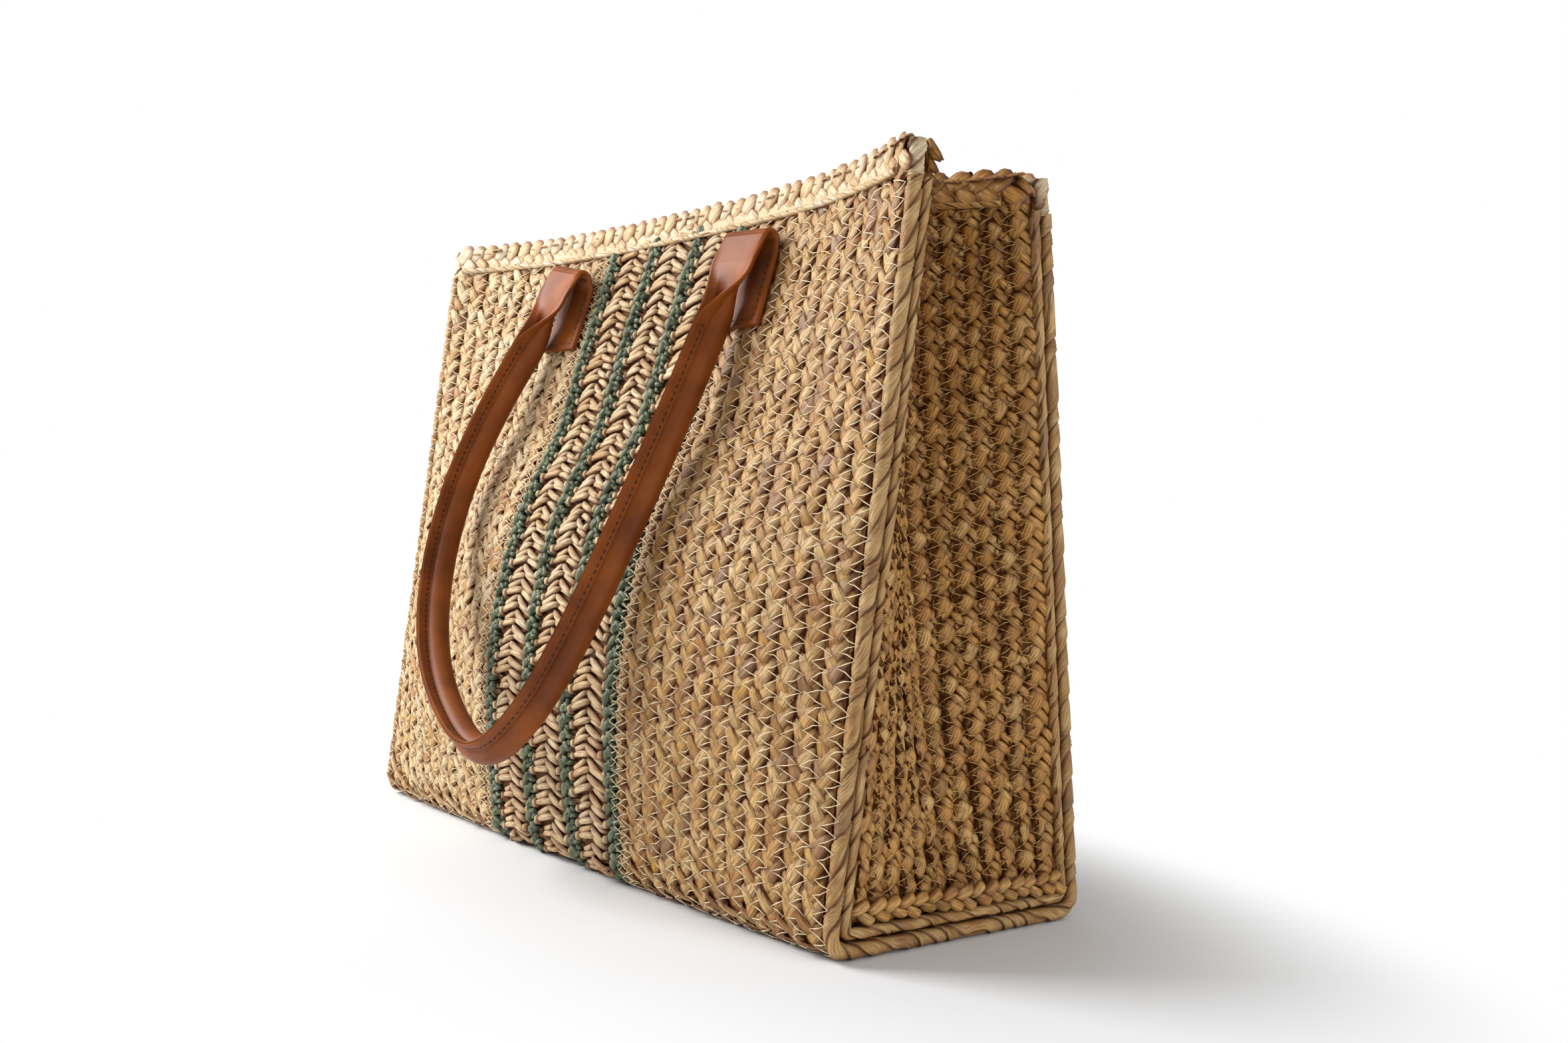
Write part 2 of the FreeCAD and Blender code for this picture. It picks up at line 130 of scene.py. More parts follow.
def add(tree, kind, inputs=(), **settings):
    """Add a node, with its settings, and its inputs set or linked by name or place.

    A node given for an input stands for its first output.
    """
    node = tree.nodes.new(kind)
    for name, value in settings.items():
        setattr(node, name, value)
    for place, value in dict(inputs).items():
        if isinstance(value, bpy.types.Node):
            value = value.outputs[0]
        if isinstance(value, bpy.types.NodeSocket):
            tree.links.new(value, node.inputs[place])
        else:
            node.inputs[place].default_value = value
    return node


def linear(code):
    """A hex sRGB colour as linear RGBA."""
    values = [int(code[i:i + 2], 16) / 255 for i in (1, 3, 5)]
    return [v / 12.92 if v <= 0.04045 else ((v + 0.055) / 1.055) ** 2.4 for v in values] + [1.0]


def new_material(name):
    """A new material, its node tree and its shader."""
    material = bpy.data.materials.new(name)
    material.use_nodes = True
    return material, material.node_tree, material.node_tree.nodes["Principled BSDF"]


STAIN_SIZE = 11.0
CREVICE_SHADE_REACH = 5.0


def fibrous(name, stops, dark, roughness, ridge_mm, ridge_depth):
    """Split and dried plant leaf: each leaf has its own colour, fine ribs along it and stains.

    The stops give the colours that the leaves take, as pairs of place and hex colour. The dark
    colour lies between the ribs and in stains, and it is also painted shade on buried ends and
    edges and in narrow hollows, where shade falls.
    """
    material, tree, surface = new_material(name)
    tint = add(tree, "ShaderNodeAttribute", attribute_name="tint")
    fibre = add(tree, "ShaderNodeAttribute", attribute_name="fibre")
    hidden = add(tree, "ShaderNodeAttribute", attribute_name="hidden")
    place = add(tree, "ShaderNodeTexCoord")
    ramp = add(tree, "ShaderNodeValToRGB", {"Fac": tint.outputs["Fac"]})
    marks = ramp.color_ramp.elements
    marks[0].position, marks[0].color = stops[0][0], linear(stops[0][1])
    marks[1].position, marks[1].color = stops[-1][0], linear(stops[-1][1])
    for position, code in stops[1:-1]:
        marks.new(position).color = linear(code)
    along = add(tree, "ShaderNodeMapping", {"Vector": fibre.outputs["Vector"],
                                            "Scale": (0.1, 1.0, 1.0)})
    ribs = add(tree, "ShaderNodeTexNoise", {"Vector": along.outputs["Vector"],
                                            "Scale": 1 / (ridge_mm * MM), "Detail": 3.0})
    stains = add(tree, "ShaderNodeTexNoise",
                 {"Vector": place.outputs["Object"], "Scale": 1 / (STAIN_SIZE * MM),
                  "Detail": 4.0})
    # Painted shade: ambient occlusion darkens the colour in narrow hollows, where shade falls.
    crevice_shade = add(tree, "ShaderNodeAmbientOcclusion",
                     {"Distance": CREVICE_SHADE_REACH * MM}, samples=3)
    colour = ramp.outputs["Color"]
    # Ribs and stains are the leaf's own marks. The last two marks are painted shade: buried ends
    # and edges, and narrow hollows.
    for measure, least, most, strength in (
            (ribs.outputs["Fac"], 0.62, 0.34, 0.7), (stains.outputs["Fac"], 0.5, 0.75, 0.3),
            (hidden.outputs["Fac"], 0.08, 0.9, 0.9), (crevice_shade.outputs["AO"], 0.8, 0.28, 0.75)):
        share = add(tree, "ShaderNodeMapRange",
                    {"Value": measure, "From Min": least, "From Max": most, "To Max": strength})
        darker = add(tree, "ShaderNodeMix", {0: share, 6: colour, 7: linear(dark)},
                     data_type="RGBA")
        colour = darker.outputs[2]
    tree.links.new(colour, surface.inputs["Base Color"])
    bump = add(tree, "ShaderNodeBump", {"Height": ribs.outputs["Fac"], "Strength": 0.8,
                                        "Distance": ridge_depth * MM})
    tree.links.new(bump.outputs["Normal"], surface.inputs["Normal"])
    surface.inputs["Roughness"].default_value = roughness
    return material


# The wall's ground: the buried parts of the plaits, in the hollows between their leaves. It is a
# thin closed sheet of straw in the middle of the wall, coloured dark brown as painted shade for
# those hollows.
GROUND_OUTSIDE = 2.2
GROUND_INSIDE = 3.4
SHARP_EDGE = math.radians(65)
hollow_shade_straw = fibrous("straw painted as hollow shade", [(0.0, "#7E4F22"), (1.0, "#986632")],
                       "#4A260C", 0.9, 1.6, 0.6)


def grid_faces(rows, columns, first=0):
    """Quads of a grid of points, row by row."""
    start = np.arange(rows - 1)[:, None] * columns + np.arange(columns - 1)[None, :] + first
    start = start.ravel()
    return np.column_stack([start, start + 1, start + columns + 1, start + columns])


def in_scene(name, data):
    """A new object with its data, put into the scene."""
    item = bpy.data.objects.new(name, data)
    bpy.context.scene.collection.objects.link(item)
    return item


def piece_from(name, points, faces, material, body, slot):
    """A mesh piece from points in mm, riding on a body if one is given."""
    mesh = bpy.data.meshes.new(name)
    mesh.from_pydata((np.asarray(points) * MM).tolist(), [], faces)
    mesh.polygons.foreach_set("use_smooth", [True] * len(mesh.polygons))
    mesh.materials.append(material)
    mesh.update()
    mesh.set_sharp_from_angle(angle=SHARP_EDGE)
    piece = in_scene(name, mesh)
    if body:
        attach(piece, body)
    return piece


def outward(points, quads, others=()):
    """The faces of a closed shell, all turned the right way out."""
    corners = points[np.array(quads)] - points.mean(axis=0)
    volume = (np.cross(corners[:, 1], corners[:, 2]) * corners[:, 0]).sum()
    volume += (np.cross(corners[:, 2], corners[:, 3]) * corners[:, 0]).sum()
    faces = [list(face) for face in quads] + [list(face) for face in others]
    return faces if volume > 0 else [face[::-1] for face in faces]


def closed_sheet(outer, inner):
    """Points and faces of a closed shell between two grids of points, shaped (rows, columns, 3)."""
    rows, columns = outer.shape[:2]
    front = grid_faces(rows, columns)
    back = grid_faces(rows, columns, rows * columns)[:, ::-1]
    rim = np.concatenate([
        np.arange(columns),
        np.arange(1, rows) * columns + columns - 1,
        (rows - 1) * columns + np.arange(columns - 2, -1, -1),
        np.arange(rows - 2, 0, -1) * columns,
    ])
    after = np.roll(rim, -1)
    shift = rows * columns
    sides = np.column_stack([rim, rim + shift, after + shift, after])
    points = np.concatenate([outer.reshape(-1, 3), inner.reshape(-1, 3)])
    return points, outward(points, np.concatenate([front, back, sides]))


def ground(name, lines, outside, inside, slot):
    """A thin closed sheet between two depths under a wall, given as lines and their facings."""
    points = np.stack([line for line, _ in lines])
    facing = np.stack([direction for _, direction in lines])
    shell = closed_sheet(points - facing * outside, points - facing * inside)
    piece_from(name, *shell, hollow_shade_straw, "bag", slot)


for name, start, end, depth in (("right_field", FIELD_X, STRIP_HALF, GROUND_OUTSIDE),
                                ("left_field", -STRIP_HALF, -FIELD_X, GROUND_OUTSIDE),
                                ("stripe", -FIELD_X, FIELD_X, GROUND_OUTSIDE + 0.3)):
    ground(f"{name}_ground", [strip_line(x) for x in np.linspace(start, end, 15)], depth,
           GROUND_INSIDE, "plaited_straw")


# The two straw fields: rows of flat three-strand plait, 12 mm wide, sewn edge to edge. In each
# row a column of broad leaves and a column of narrow ones cross, dive under and come up again.
ROW_COUNT = 11
ROW_WIDTH = FIELD_WIDTH / ROW_COUNT
PLAIT_PITCH = 9.4
PLAIT_DEPTH = 1.5
PLAIT_TOPS = (337.0, 345.0)
SIDES = (("right", 1), ("left", -1))
row_ends = np.random.default_rng(7)


def ends():
    """Where a row starts and stops under the bindings, so that no two rows are in step."""
    return tuple(row_ends.uniform(*PLAIT_TOPS, 2))


field_straw = fibrous(
    "split straw, sun bleached",
    [(0.0, "#DEB470"), (0.25, "#EDCA8A"), (0.45, "#CF9E55"), (0.62, "#E5BB72"), (0.8, "#BF8B44"),
     (0.88, "#AC8863"), (0.94, "#D6A342"), (1.0, "#987552")],
    "#662C06", 0.48, 0.7, 0.9)
# A paler copy of the field straw, used on the outside of the left field. It is painted light,
# standing for the stronger light and sheen on that side.
left_lit_straw = fibrous(
    "split straw, painted as lit",
    [(0.0, "#F2D79E"), (0.25, "#F9E7BA"), (0.5, "#E9C580"), (0.75, "#F6DDA6"), (0.93, "#D8AB62"),
     (1.0, "#BE986C")],
    "#7A3C08", 0.5, 0.7, 0.9)


def leaf(length, width, lean, place, dome, head=0.0, bend=0.0, lift=0.0, tilt=0.0, row=6.0,
         fall=0.0, crumple=0.0, cells=(8, 6), seed=0):
    """One visible leaf of a plait, in mm: flat topped, with steep sides and both ends diving.

    The leaf's own Y runs along its row, X across it and Z out of the wall. Lean turns its top
    to the right, head widens its top, bend bows its middle to the left and tilt raises its top.
    The whole row falls away towards its edges. The result is its points, grain, faces and a
    mask of painted shade on its diving ends and edges.
    """
    rng = np.random.default_rng(seed)
    u = np.linspace(-1.0, 1.0, cells[0])[:, None]
    v = np.sin(np.linspace(-math.pi / 2, math.pi / 2, cells[1]))[None, :]
    half = width / 2 * (1 - np.abs(u) ** 2.8 * 0.9) ** 0.5 * (1 + head * u)
    a = u * length / 2 + 0 * v
    b = half * v
    creases = rng.uniform(-0.16, 0.16, cells[1])[None, :] * (1 - np.abs(v) ** 4)
    z = dome * (np.sqrt(np.maximum(0.0, 1 - v ** 4)) * (1 - 0.5 * u ** 4) + creases)
    z = z - 0.9 * dome * np.abs(u) ** 5 - 0.5 + lift + tilt * u
    z = z + crumple * rng.uniform(-1, 1, z.shape)
    b = b - bend * (1 - u ** 2)
    turn = math.radians(lean)
    x = place[0] + b * math.cos(turn) + a * math.sin(turn)
    y = place[1] - b * math.sin(turn) + a * math.cos(turn)
    z = z - fall * (x / row) ** 2
    grain = np.stack([a, b, np.full_like(a, rng.uniform(0, 90))], axis=-1)
    points = np.stack([x, y, z], axis=-1)
    # Painted shade: a mask that rises towards the leaf's diving ends and edges and darkens its
    # colour there, as if shaded by its neighbours.
    hidden = np.maximum(np.abs(u) ** 3.5 + 0 * v, np.abs(v) ** 5 + 0 * u)
    return points.reshape(-1, 3), grain.reshape(-1, 3), grid_faces(*cells), hidden.ravel()


def strand(name, *leaves):
    """A mesh of one or a few leaves, kept out of the scene, to be set along the rows."""
    points, grain, faces = [], [], []
    for one in leaves:
        faces.append(one[2] + sum(len(p) for p in points))
        points.append(one[0])
        grain.append(one[1])
    mesh = bpy.data.meshes.new(name)
    mesh.from_pydata((np.concatenate(points) * MM).tolist(), [], np.concatenate(faces).tolist())
    mesh.attributes.new("hidden", "FLOAT", "POINT").data.foreach_set(
        "value", np.concatenate([one[3] for one in leaves]))
    fibre = mesh.attributes.new("fibre", "FLOAT_VECTOR", "POINT")
    fibre.data.foreach_set("vector", np.concatenate(grain).ravel() * MM)
    return bpy.data.objects.new(name, mesh)


def bunch(name, make, count=4):
    """A collection of a few strands alike, of which each place in a row takes one at random."""
    collection = bpy.data.collections.new(name)
    for i in range(count):
        collection.objects.link(strand(f"{name}_{i}", *make(i)))
    return collection


def new_tree(name, sizes):
    """A Geometry Nodes tree with named inputs, and its input sockets."""
    tree = bpy.data.node_groups.new(name, "GeometryNodeTree")
    tree.interface.new_socket("Geometry", in_out="OUTPUT", socket_type="NodeSocketGeometry")
    tree.interface.new_socket("Geometry", in_out="INPUT", socket_type="NodeSocketGeometry")
    for size_name, kind in sizes.items():
        tree.interface.new_socket(size_name, in_out="INPUT", socket_type="NodeSocket" + kind)
    return tree, tree.nodes.new("NodeGroupInput").outputs


def close_tree(tree, geometry, material):
    """End a tree: real geometry, smooth, in its material."""
    real = add(tree, "GeometryNodeRealizeInstances", {"Geometry": geometry})
    smooth = add(tree, "GeometryNodeSetShadeSmooth", {"Geometry": real})
    dressed = add(tree, "GeometryNodeSetMaterial", {"Geometry": smooth, "Material": material})
    add(tree, "NodeGroupOutput", {"Geometry": dressed})


def grow(name, lines, tree, sizes, body):
    """Run a tree on lines, given as points in mm and facings, and keep the result as a piece."""
    mesh = bpy.data.meshes.new(name)
    points = np.concatenate([line for line, _ in lines]) * MM
    facing = np.concatenate([direction for _, direction in lines])
    counts = [len(line) for line, _ in lines]
    firsts = np.cumsum([0] + counts[:-1])
    edges = [(first + i, first + i + 1)
             for first, count in zip(firsts, counts) for i in range(count - 1)]
    mesh.from_pydata(points.tolist(), edges, [])
    mesh.attributes.new("facing", "FLOAT_VECTOR", "POINT").data.foreach_set(
        "vector", facing.ravel())
    carrier = in_scene(name + "_lines", mesh)
    modifier = carrier.modifiers.new("grow", "NODES")
    modifier.node_group = tree
    for socket in tree.interface.items_tree:
        if socket.in_out == "INPUT" and socket.name in sizes:
            modifier[socket.identifier] = sizes[socket.name]
    bpy.context.view_layer.update()
    depsgraph = bpy.context.evaluated_depsgraph_get()
    grown = bpy.data.meshes.new_from_object(
        carrier.evaluated_get(depsgraph), preserve_all_data_layers=True, depsgraph=depsgraph)
    bpy.data.objects.remove(carrier)
    piece = in_scene(name, grown)
    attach(piece, body)
    return piece


def row_tree(name, columns):
    """Columns of strands along each line, with a little wandering and turning in each strand."""
    tree, sizes = new_tree(name, dict(
        {column: "Collection" for column in columns},
        Pitch="Float", Wander="Float", Turn="Float", Seed="Int", Material="Material"))
    curve = add(tree, "GeometryNodeMeshToCurve", {"Mesh": sizes["Geometry"]})
    even = add(tree, "GeometryNodeResampleCurve",
               {"Curve": curve, "Length": sizes["Pitch"]}, mode="LENGTH")
    facing = add(tree, "GeometryNodeInputNamedAttribute",
                 {"Name": "facing"}, data_type="FLOAT_VECTOR")
    along = add(tree, "GeometryNodeInputTangent")
    upright = add(tree, "FunctionNodeAxesToRotation",
                  {0: facing, 1: along}, primary_axis="Z", secondary_axis="Y")
    both = add(tree, "GeometryNodeJoinGeometry")
    for order, column in enumerate(columns):
        seed = add(tree, "ShaderNodeMath", {0: sizes["Seed"], 1: 10.0 * order}, operation="ADD")
        turn = add(tree, "FunctionNodeRandomValue",
                   {"Seed": seed, 0: (-1, -1, -1), 1: (1, 1, 1)}, data_type="FLOAT_VECTOR")
        angle = add(tree, "ShaderNodeVectorMath",
                    {0: turn, "Scale": sizes["Turn"]}, operation="SCALE")
        euler = add(tree, "FunctionNodeEulerToRotation", {0: angle})
        turned = add(tree, "FunctionNodeRotateRotation",
                     {0: upright, 1: euler}, rotation_space="LOCAL")
        spread = add(tree, "FunctionNodeRandomValue",
                     {"Seed": seed, 0: (0.92, 0.93, 0.88), 1: (1.08, 1.09, 1.12)},
                     data_type="FLOAT_VECTOR")
        choice = add(tree, "FunctionNodeRandomValue", {"Seed": seed, 4: 0, 5: 3}, data_type="INT")
        strands = add(tree, "GeometryNodeCollectionInfo",
                      {"Collection": sizes[column], "Separate Children": True,
                       "Reset Children": True})
        placed = add(tree, "GeometryNodeInstanceOnPoints",
                     {"Points": even, "Instance": strands, "Pick Instance": True,
                      "Instance Index": choice.outputs[2], "Rotation": turned, "Scale": spread})
        drift = add(tree, "FunctionNodeRandomValue",
                    {"Seed": seed, 0: (-1, -1, -0.4), 1: (1, 1, 0.6)}, data_type="FLOAT_VECTOR")
        step = add(tree, "ShaderNodeVectorMath",
                   {0: drift, "Scale": sizes["Wander"]}, operation="SCALE")
        moved = add(tree, "GeometryNodeTranslateInstances",
                    {"Instances": placed, "Translation": step, "Local Space": True})
        shade = add(tree, "FunctionNodeRandomValue",
                    {"Seed": seed, 2: 0.0, 3: 1.0}, data_type="FLOAT")
        tinted = add(tree, "GeometryNodeStoreNamedAttribute",
                     {"Geometry": moved, "Name": "tint", "Value": shade.outputs[1]},
                     domain="INSTANCE", data_type="FLOAT")
        tree.links.new(tinted.outputs["Geometry"], both.inputs["Geometry"])
    close_tree(tree, both, sizes["Material"])
    return tree


def thread_tree():
    """A thread that zigzags along each line: down into the leaves at each side, over the seam."""
    tree, sizes = new_tree("zigzag thread", {
        "Stitch": "Float", "Reach": "Float", "Lift": "Float", "Radius": "Float", "Seed": "Int",
        "Material": "Material"})
    curve = add(tree, "GeometryNodeMeshToCurve", {"Mesh": sizes["Geometry"]})
    half_stitch = add(tree, "ShaderNodeMath", {0: sizes["Stitch"], 1: 0.5}, operation="MULTIPLY")
    even = add(tree, "GeometryNodeResampleCurve",
               {"Curve": curve, "Length": half_stitch}, mode="LENGTH")
    facing = add(tree, "GeometryNodeInputNamedAttribute",
                 {"Name": "facing"}, data_type="FLOAT_VECTOR")
    tangent = add(tree, "GeometryNodeInputTangent")
    across = add(tree, "ShaderNodeVectorMath", {0: tangent, 1: facing}, operation="CROSS_PRODUCT")
    index = add(tree, "GeometryNodeInputIndex")
    phase = add(tree, "ShaderNodeMath", {0: index, 1: math.pi / 2}, operation="MULTIPLY")
    swing = add(tree, "ShaderNodeMath", {0: phase}, operation="SINE")
    middle = add(tree, "ShaderNodeMath", {0: phase}, operation="COSINE")
    over = add(tree, "ShaderNodeMath", {0: middle}, operation="ABSOLUTE")
    loose = add(tree, "FunctionNodeRandomValue",
                {"Seed": sizes["Seed"], 0: (0.8, -0.5, 0.6), 1: (1.15, 0.5, 1.3)},
                data_type="FLOAT_VECTOR")
    parts = add(tree, "ShaderNodeSeparateXYZ", {0: loose})
    offset = (0.0, 0.0, 0.0)
    for way, amount, size, chance in (
            (across, swing, sizes["Reach"], parts.outputs[0]),
            (facing, over, sizes["Lift"], parts.outputs[2]),
            (tangent, 1.0, half_stitch, parts.outputs[1])):
        full = add(tree, "ShaderNodeMath", {0: amount, 1: size}, operation="MULTIPLY")
        drawn = add(tree, "ShaderNodeMath", {0: full, 1: chance}, operation="MULTIPLY")
        shift = add(tree, "ShaderNodeVectorMath", {0: way, "Scale": drawn}, operation="SCALE")
        offset = add(tree, "ShaderNodeVectorMath", {0: offset, 1: shift})
    bent = add(tree, "GeometryNodeSetPosition", {"Geometry": even, "Offset": offset})
    ring = add(tree, "GeometryNodeCurvePrimitiveCircle",
               {"Resolution": 4, "Radius": sizes["Radius"]})
    thread = add(tree, "GeometryNodeCurveToMesh", {"Curve": bent, "Profile Curve": ring})
    close_tree(tree, thread, sizes["Material"])
    return tree


def thread_material(name, pale, deep):
    """Split straw thread, pale and slightly shiny: too thin for its grain to show."""
    material, tree, surface = new_material(name)
    place = add(tree, "ShaderNodeTexCoord")
    patches = add(tree, "ShaderNodeTexNoise",
                  {"Vector": place.outputs["Object"], "Scale": 1 / (9 * MM), "Detail": 2.0})
    shade = add(tree, "ShaderNodeMix", {0: patches.outputs["Fac"], 6: linear(pale),
                                        7: linear(deep)}, data_type="RGBA")
    tree.links.new(shade.outputs[2], surface.inputs["Base Color"])
    surface.inputs["Roughness"].default_value = 0.5
    return material


leaf_rows = row_tree("leaf rows", ("Left leaves", "Right leaves"))
zigzag = thread_tree()
thread_straw = thread_material("straw sewing thread", "#FBF0D2", "#EBD3A0")
broad_leaves = bunch("broad_leaf", lambda i: [
    leaf(15.2, 7.6, 34, (2.3, 0.0), 1.4, -0.12, 0.7, 0.5, -0.7, 6.1, 0.9, 0.12, seed=i)])
narrow_leaves = bunch("narrow_leaf", lambda i: [
    leaf(13.8, 7.2, -27, (-2.8, 4.2), 1.4, -0.34, -0.5, 0.9, 0.5, 6.1, 0.9, 0.12, seed=20 + i)])
ROW_SIZES = {"Pitch": PLAIT_PITCH * MM, "Wander": 0.5 * MM, "Turn": 0.11,
             "Left leaves": narrow_leaves, "Right leaves": broad_leaves, "Material": field_straw}
SEAM_SIZES = {"Stitch": 3.7 * MM, "Reach": 5.0 * MM, "Lift": 0.4 * MM, "Radius": 0.27 * MM,
              "Material": thread_straw}
THREAD_DEPTH = -0.5

# The left field's outside takes the paler, painted-light copy. Both insides keep the field straw.
for (side_name, side), straw in zip(SIDES, (field_straw, left_lit_straw)):
    seams = [side * (FIELD_X + ROW_WIDTH * i) for i in range(ROW_COUNT + 1)]
    centres = [x + side * ROW_WIDTH / 2 for x in seams[:-1]]
    outer = grow(f"{side_name}_field_outside",
                 [strip_line(x, PLAIT_DEPTH, ends()) for x in centres], leaf_rows,
                 {**ROW_SIZES, "Material": straw, "Seed": 3 + side}, "bag")
    grow(f"{side_name}_field_inside",
         [inner_line(x, STRAW_THICKNESS - PLAIT_DEPTH, ends()) for x in centres], leaf_rows,
         {**ROW_SIZES, "Seed": 13 + side}, "bag")
    grow(f"{side_name}_field_thread",
         [strip_line(x, THREAD_DEPTH, ends()) for x in seams]
         + [inner_line(x, STRAW_THICKNESS - THREAD_DEPTH, ends()) for x in seams[:-1]],
         zigzag, {**SEAM_SIZES, "Seed": 5 + side}, "bag")
    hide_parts(f"{side_name}_braid_field")


# One narrow row of plait along each edge of the coloured stripes, sewn down so closely that its
# leaves lie nearly flat under the thread.
edge_broad = bunch("edge_broad_leaf", lambda i: [
    leaf(9.6, 5.4, 30, (1.7, 0.0), 1.5, -0.1, 0.5, 0.5, -0.5, 4.5, 1.5, 0.05, seed=40 + i)])
edge_narrow = bunch("edge_narrow_leaf", lambda i: [
    leaf(8.6, 4.6, -28, (-2.2, 3.3), 1.4, -0.2, -0.3, 0.4, 0.4, 4.5, 1.5, 0.05, seed=50 + i)])
EDGE_ROW_SIZES = {**ROW_SIZES, "Pitch": 6.6 * MM, "Left leaves": edge_narrow,
                  "Right leaves": edge_broad}


def both_faces(x, depth, thickness=STRAW_THICKNESS):
    """The lines of a row on the outside and on the inside of the strip."""
    return [strip_line(x, depth, ends()), inner_line(x, thickness - depth, ends())]


for side_name, side in SIDES:
    x = side * EDGE_ROW_X
    seam = x - side * (EDGE_ROW_WIDTH / 2 - 0.8)
    row = grow(f"{side_name}_edge_plait", both_faces(x, PLAIT_DEPTH), leaf_rows,
               {**EDGE_ROW_SIZES, "Seed": 23 + side}, "bag")
    grow(f"{side_name}_edge_thread", [strip_line(seam, THREAD_DEPTH - 0.2, ends()),
                                      strip_line(x + side, THREAD_DEPTH - 0.3, ends())],
         zigzag, {**SEAM_SIZES, "Stitch": 2.9 * MM, "Reach": 3.0 * MM, "Seed": 27 + side},
         "bag")
    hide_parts(f"{side_name}_edge_row")


# Three bands of open weave in paper raffia. Pairs of flat strands slope up from each edge and
# meet in a ridge of chevrons down the middle, with small turns at the edges and dark gaps.
paper_raffia = fibrous(
    "paper raffia, natural",
    [(0.0, "#E6CB9C"), (0.3, "#F0DBB2"), (0.6, "#DDBD8A"), (0.85, "#E9D0A4"), (1.0, "#CBA672")],
    "#6B3812", 0.72, 0.6, 0.5)
RAFFIA_PITCH = 8.6
RAFFIA_DEPTH = 1.1
RAFFIA_THICKNESS = 4.0
STRAND_LEAN = 71
STRAND_SHIFT = 2.1


def raffia_pair(side, seed):
    """Two flat strands that slope up towards the band's middle, and their turn at its edge."""
    lean = STRAND_LEAN * -side
    turn = math.radians(lean)
    beside = (-math.cos(turn) * STRAND_SHIFT * side, math.sin(turn) * STRAND_SHIFT * side)
    middle = (6.4 * side, 0.0 if side < 0 else RAFFIA_PITCH / 2)
    strands = [
        leaf(18.0 + way, 3.8, lean + 4 * way,
             (middle[0] + way * beside[0], middle[1] + way * beside[1]), 1.8, 0.1 * way,
             0.7 * way, 0.5 + 0.3 * way, 0.9 * -side, 16.0, 0.2, 0.18, (8, 5), seed + 3 * way)
        for way in (-1, 1)]
    edge_turn = leaf(5.6, 3.8, 15 * side, (14.0 * side, middle[1] - 3.8), 2.0, 0, 0, 0.4, 0, 16.0,
                     0.2, 0.16, (6, 4), seed + 7)
    return strands + [edge_turn]


left_strands = bunch("raffia_left", lambda i: raffia_pair(-1, 60 + 10 * i))
right_strands = bunch("raffia_right", lambda i: raffia_pair(1, 100 + 10 * i))
RAFFIA_SIZES = {"Pitch": RAFFIA_PITCH * MM, "Wander": 0.5 * MM, "Turn": 0.11,
                "Left leaves": left_strands, "Right leaves": right_strands,
                "Material": paper_raffia}
for number, (name, x) in enumerate((("left", -(CORD_X + OUTER_CORD_X) / 2), ("centre", 0.0),
                                    ("right", (CORD_X + OUTER_CORD_X) / 2))):
    band = grow(f"{name}_raffia_weave", both_faces(x, RAFFIA_DEPTH, RAFFIA_THICKNESS), leaf_rows,
                {**RAFFIA_SIZES, "Seed": 31 + number}, "bag")
    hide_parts(f"{name}_raffia_band")


# Four green cords crocheted in the same paper raffia: crumpled links, each with a small loop on
# its right, which stand proud of the bands.
green_raffia = fibrous(
    "paper raffia, dyed green",
    [(0.0, "#74805E"), (0.35, "#8F9A76"), (0.7, "#5E6A4A"), (1.0, "#A4AE8A")],
    "#26301A", 0.5, 0.7, 0.6)
LINK_PITCH = 6.9
LINK_DEPTH = 0.6


def link(seed):
    """A crocheted link: one crumpled strand across another."""
    return [leaf(10.6, 4.2, 36, (-0.8, 0.0), 2.6, 0.1, 0.6, 0.8, 0.9, 4.0, 0.8, 0.42, (7, 5), seed),
            leaf(8.2, 3.6, -42, (0.9, 2.9), 2.2, -0.1, -0.5, 0.4, -0.6, 4.0, 0.6, 0.42, (6, 5),
                 seed + 1)]


def small_loop(seed):
    """The small loop that a link throws out to its right."""
    return [leaf(5.2, 2.9, 68, (3.6, 1.2), 2.0, 0.2, 0.3, 0.4, 0.2, 4.0, 0.3, 0.3, (6, 4), seed),
            leaf(4.4, 2.6, -50, (3.9, -1.6), 1.8, 0.2, 0.3, 0.2, 0.2, 4.0, 0.3, 0.3, (6, 4),
                 seed + 1)]


LINK_SIZES = {"Pitch": LINK_PITCH * MM, "Wander": 0.45 * MM, "Turn": 0.2,
              "Left leaves": bunch("green_link", lambda i: link(150 + 5 * i)),
              "Right leaves": bunch("green_loop", lambda i: small_loop(180 + 5 * i)),
              "Material": green_raffia}
for number, x in enumerate((-OUTER_CORD_X, -CORD_X, CORD_X, OUTER_CORD_X), start=1):
    cord = grow(f"green_links_{number}", both_faces(x, LINK_DEPTH), leaf_rows,
                {**LINK_SIZES, "Seed": 41 + number}, "bag")
    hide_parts(f"green_cord_{number}")


# Straw-wrapped cords round the ends of the bag. Two wide leaves wind round each cord and every
# turn laps over the last, which leaves a step. A thick cord edges the strip, and a thinner one
# edges the gusset beside it.
SIDE_RADIUS = 4.0
GUSSET_CORD_RADIUS = 3.0
FIT_GAP = 0.3
CORD_LINE_X = STRIP_HALF + FIT_GAP + SIDE_RADIUS
BINDING_HEIGHT = 17.0
CORD_TOP = RIM - BINDING_HEIGHT - FIT_GAP - SIDE_RADIUS * (BACK["base"] - BACK["mouth"]) / RIM
OUTLINE_POINTS = 24
LAP_SHADOW = 0.16

cord_straw = fibrous(
    "straw leaf, wound on a cord",
    [(0.0, "#D4AC6C"), (0.3, "#C29658"), (0.6, "#DEBA7C"), (0.8, "#B4884E"), (1.0, "#A8845C")],
    "#6E3C10", 0.5, 0.8, 0.6)


def bend(before, turn, after, t):
    """A smooth bend from one point to another, drawn out towards the turn between them."""
    return (1 - t) ** 2 * before + 2 * t * (1 - t) * turn + t ** 2 * after


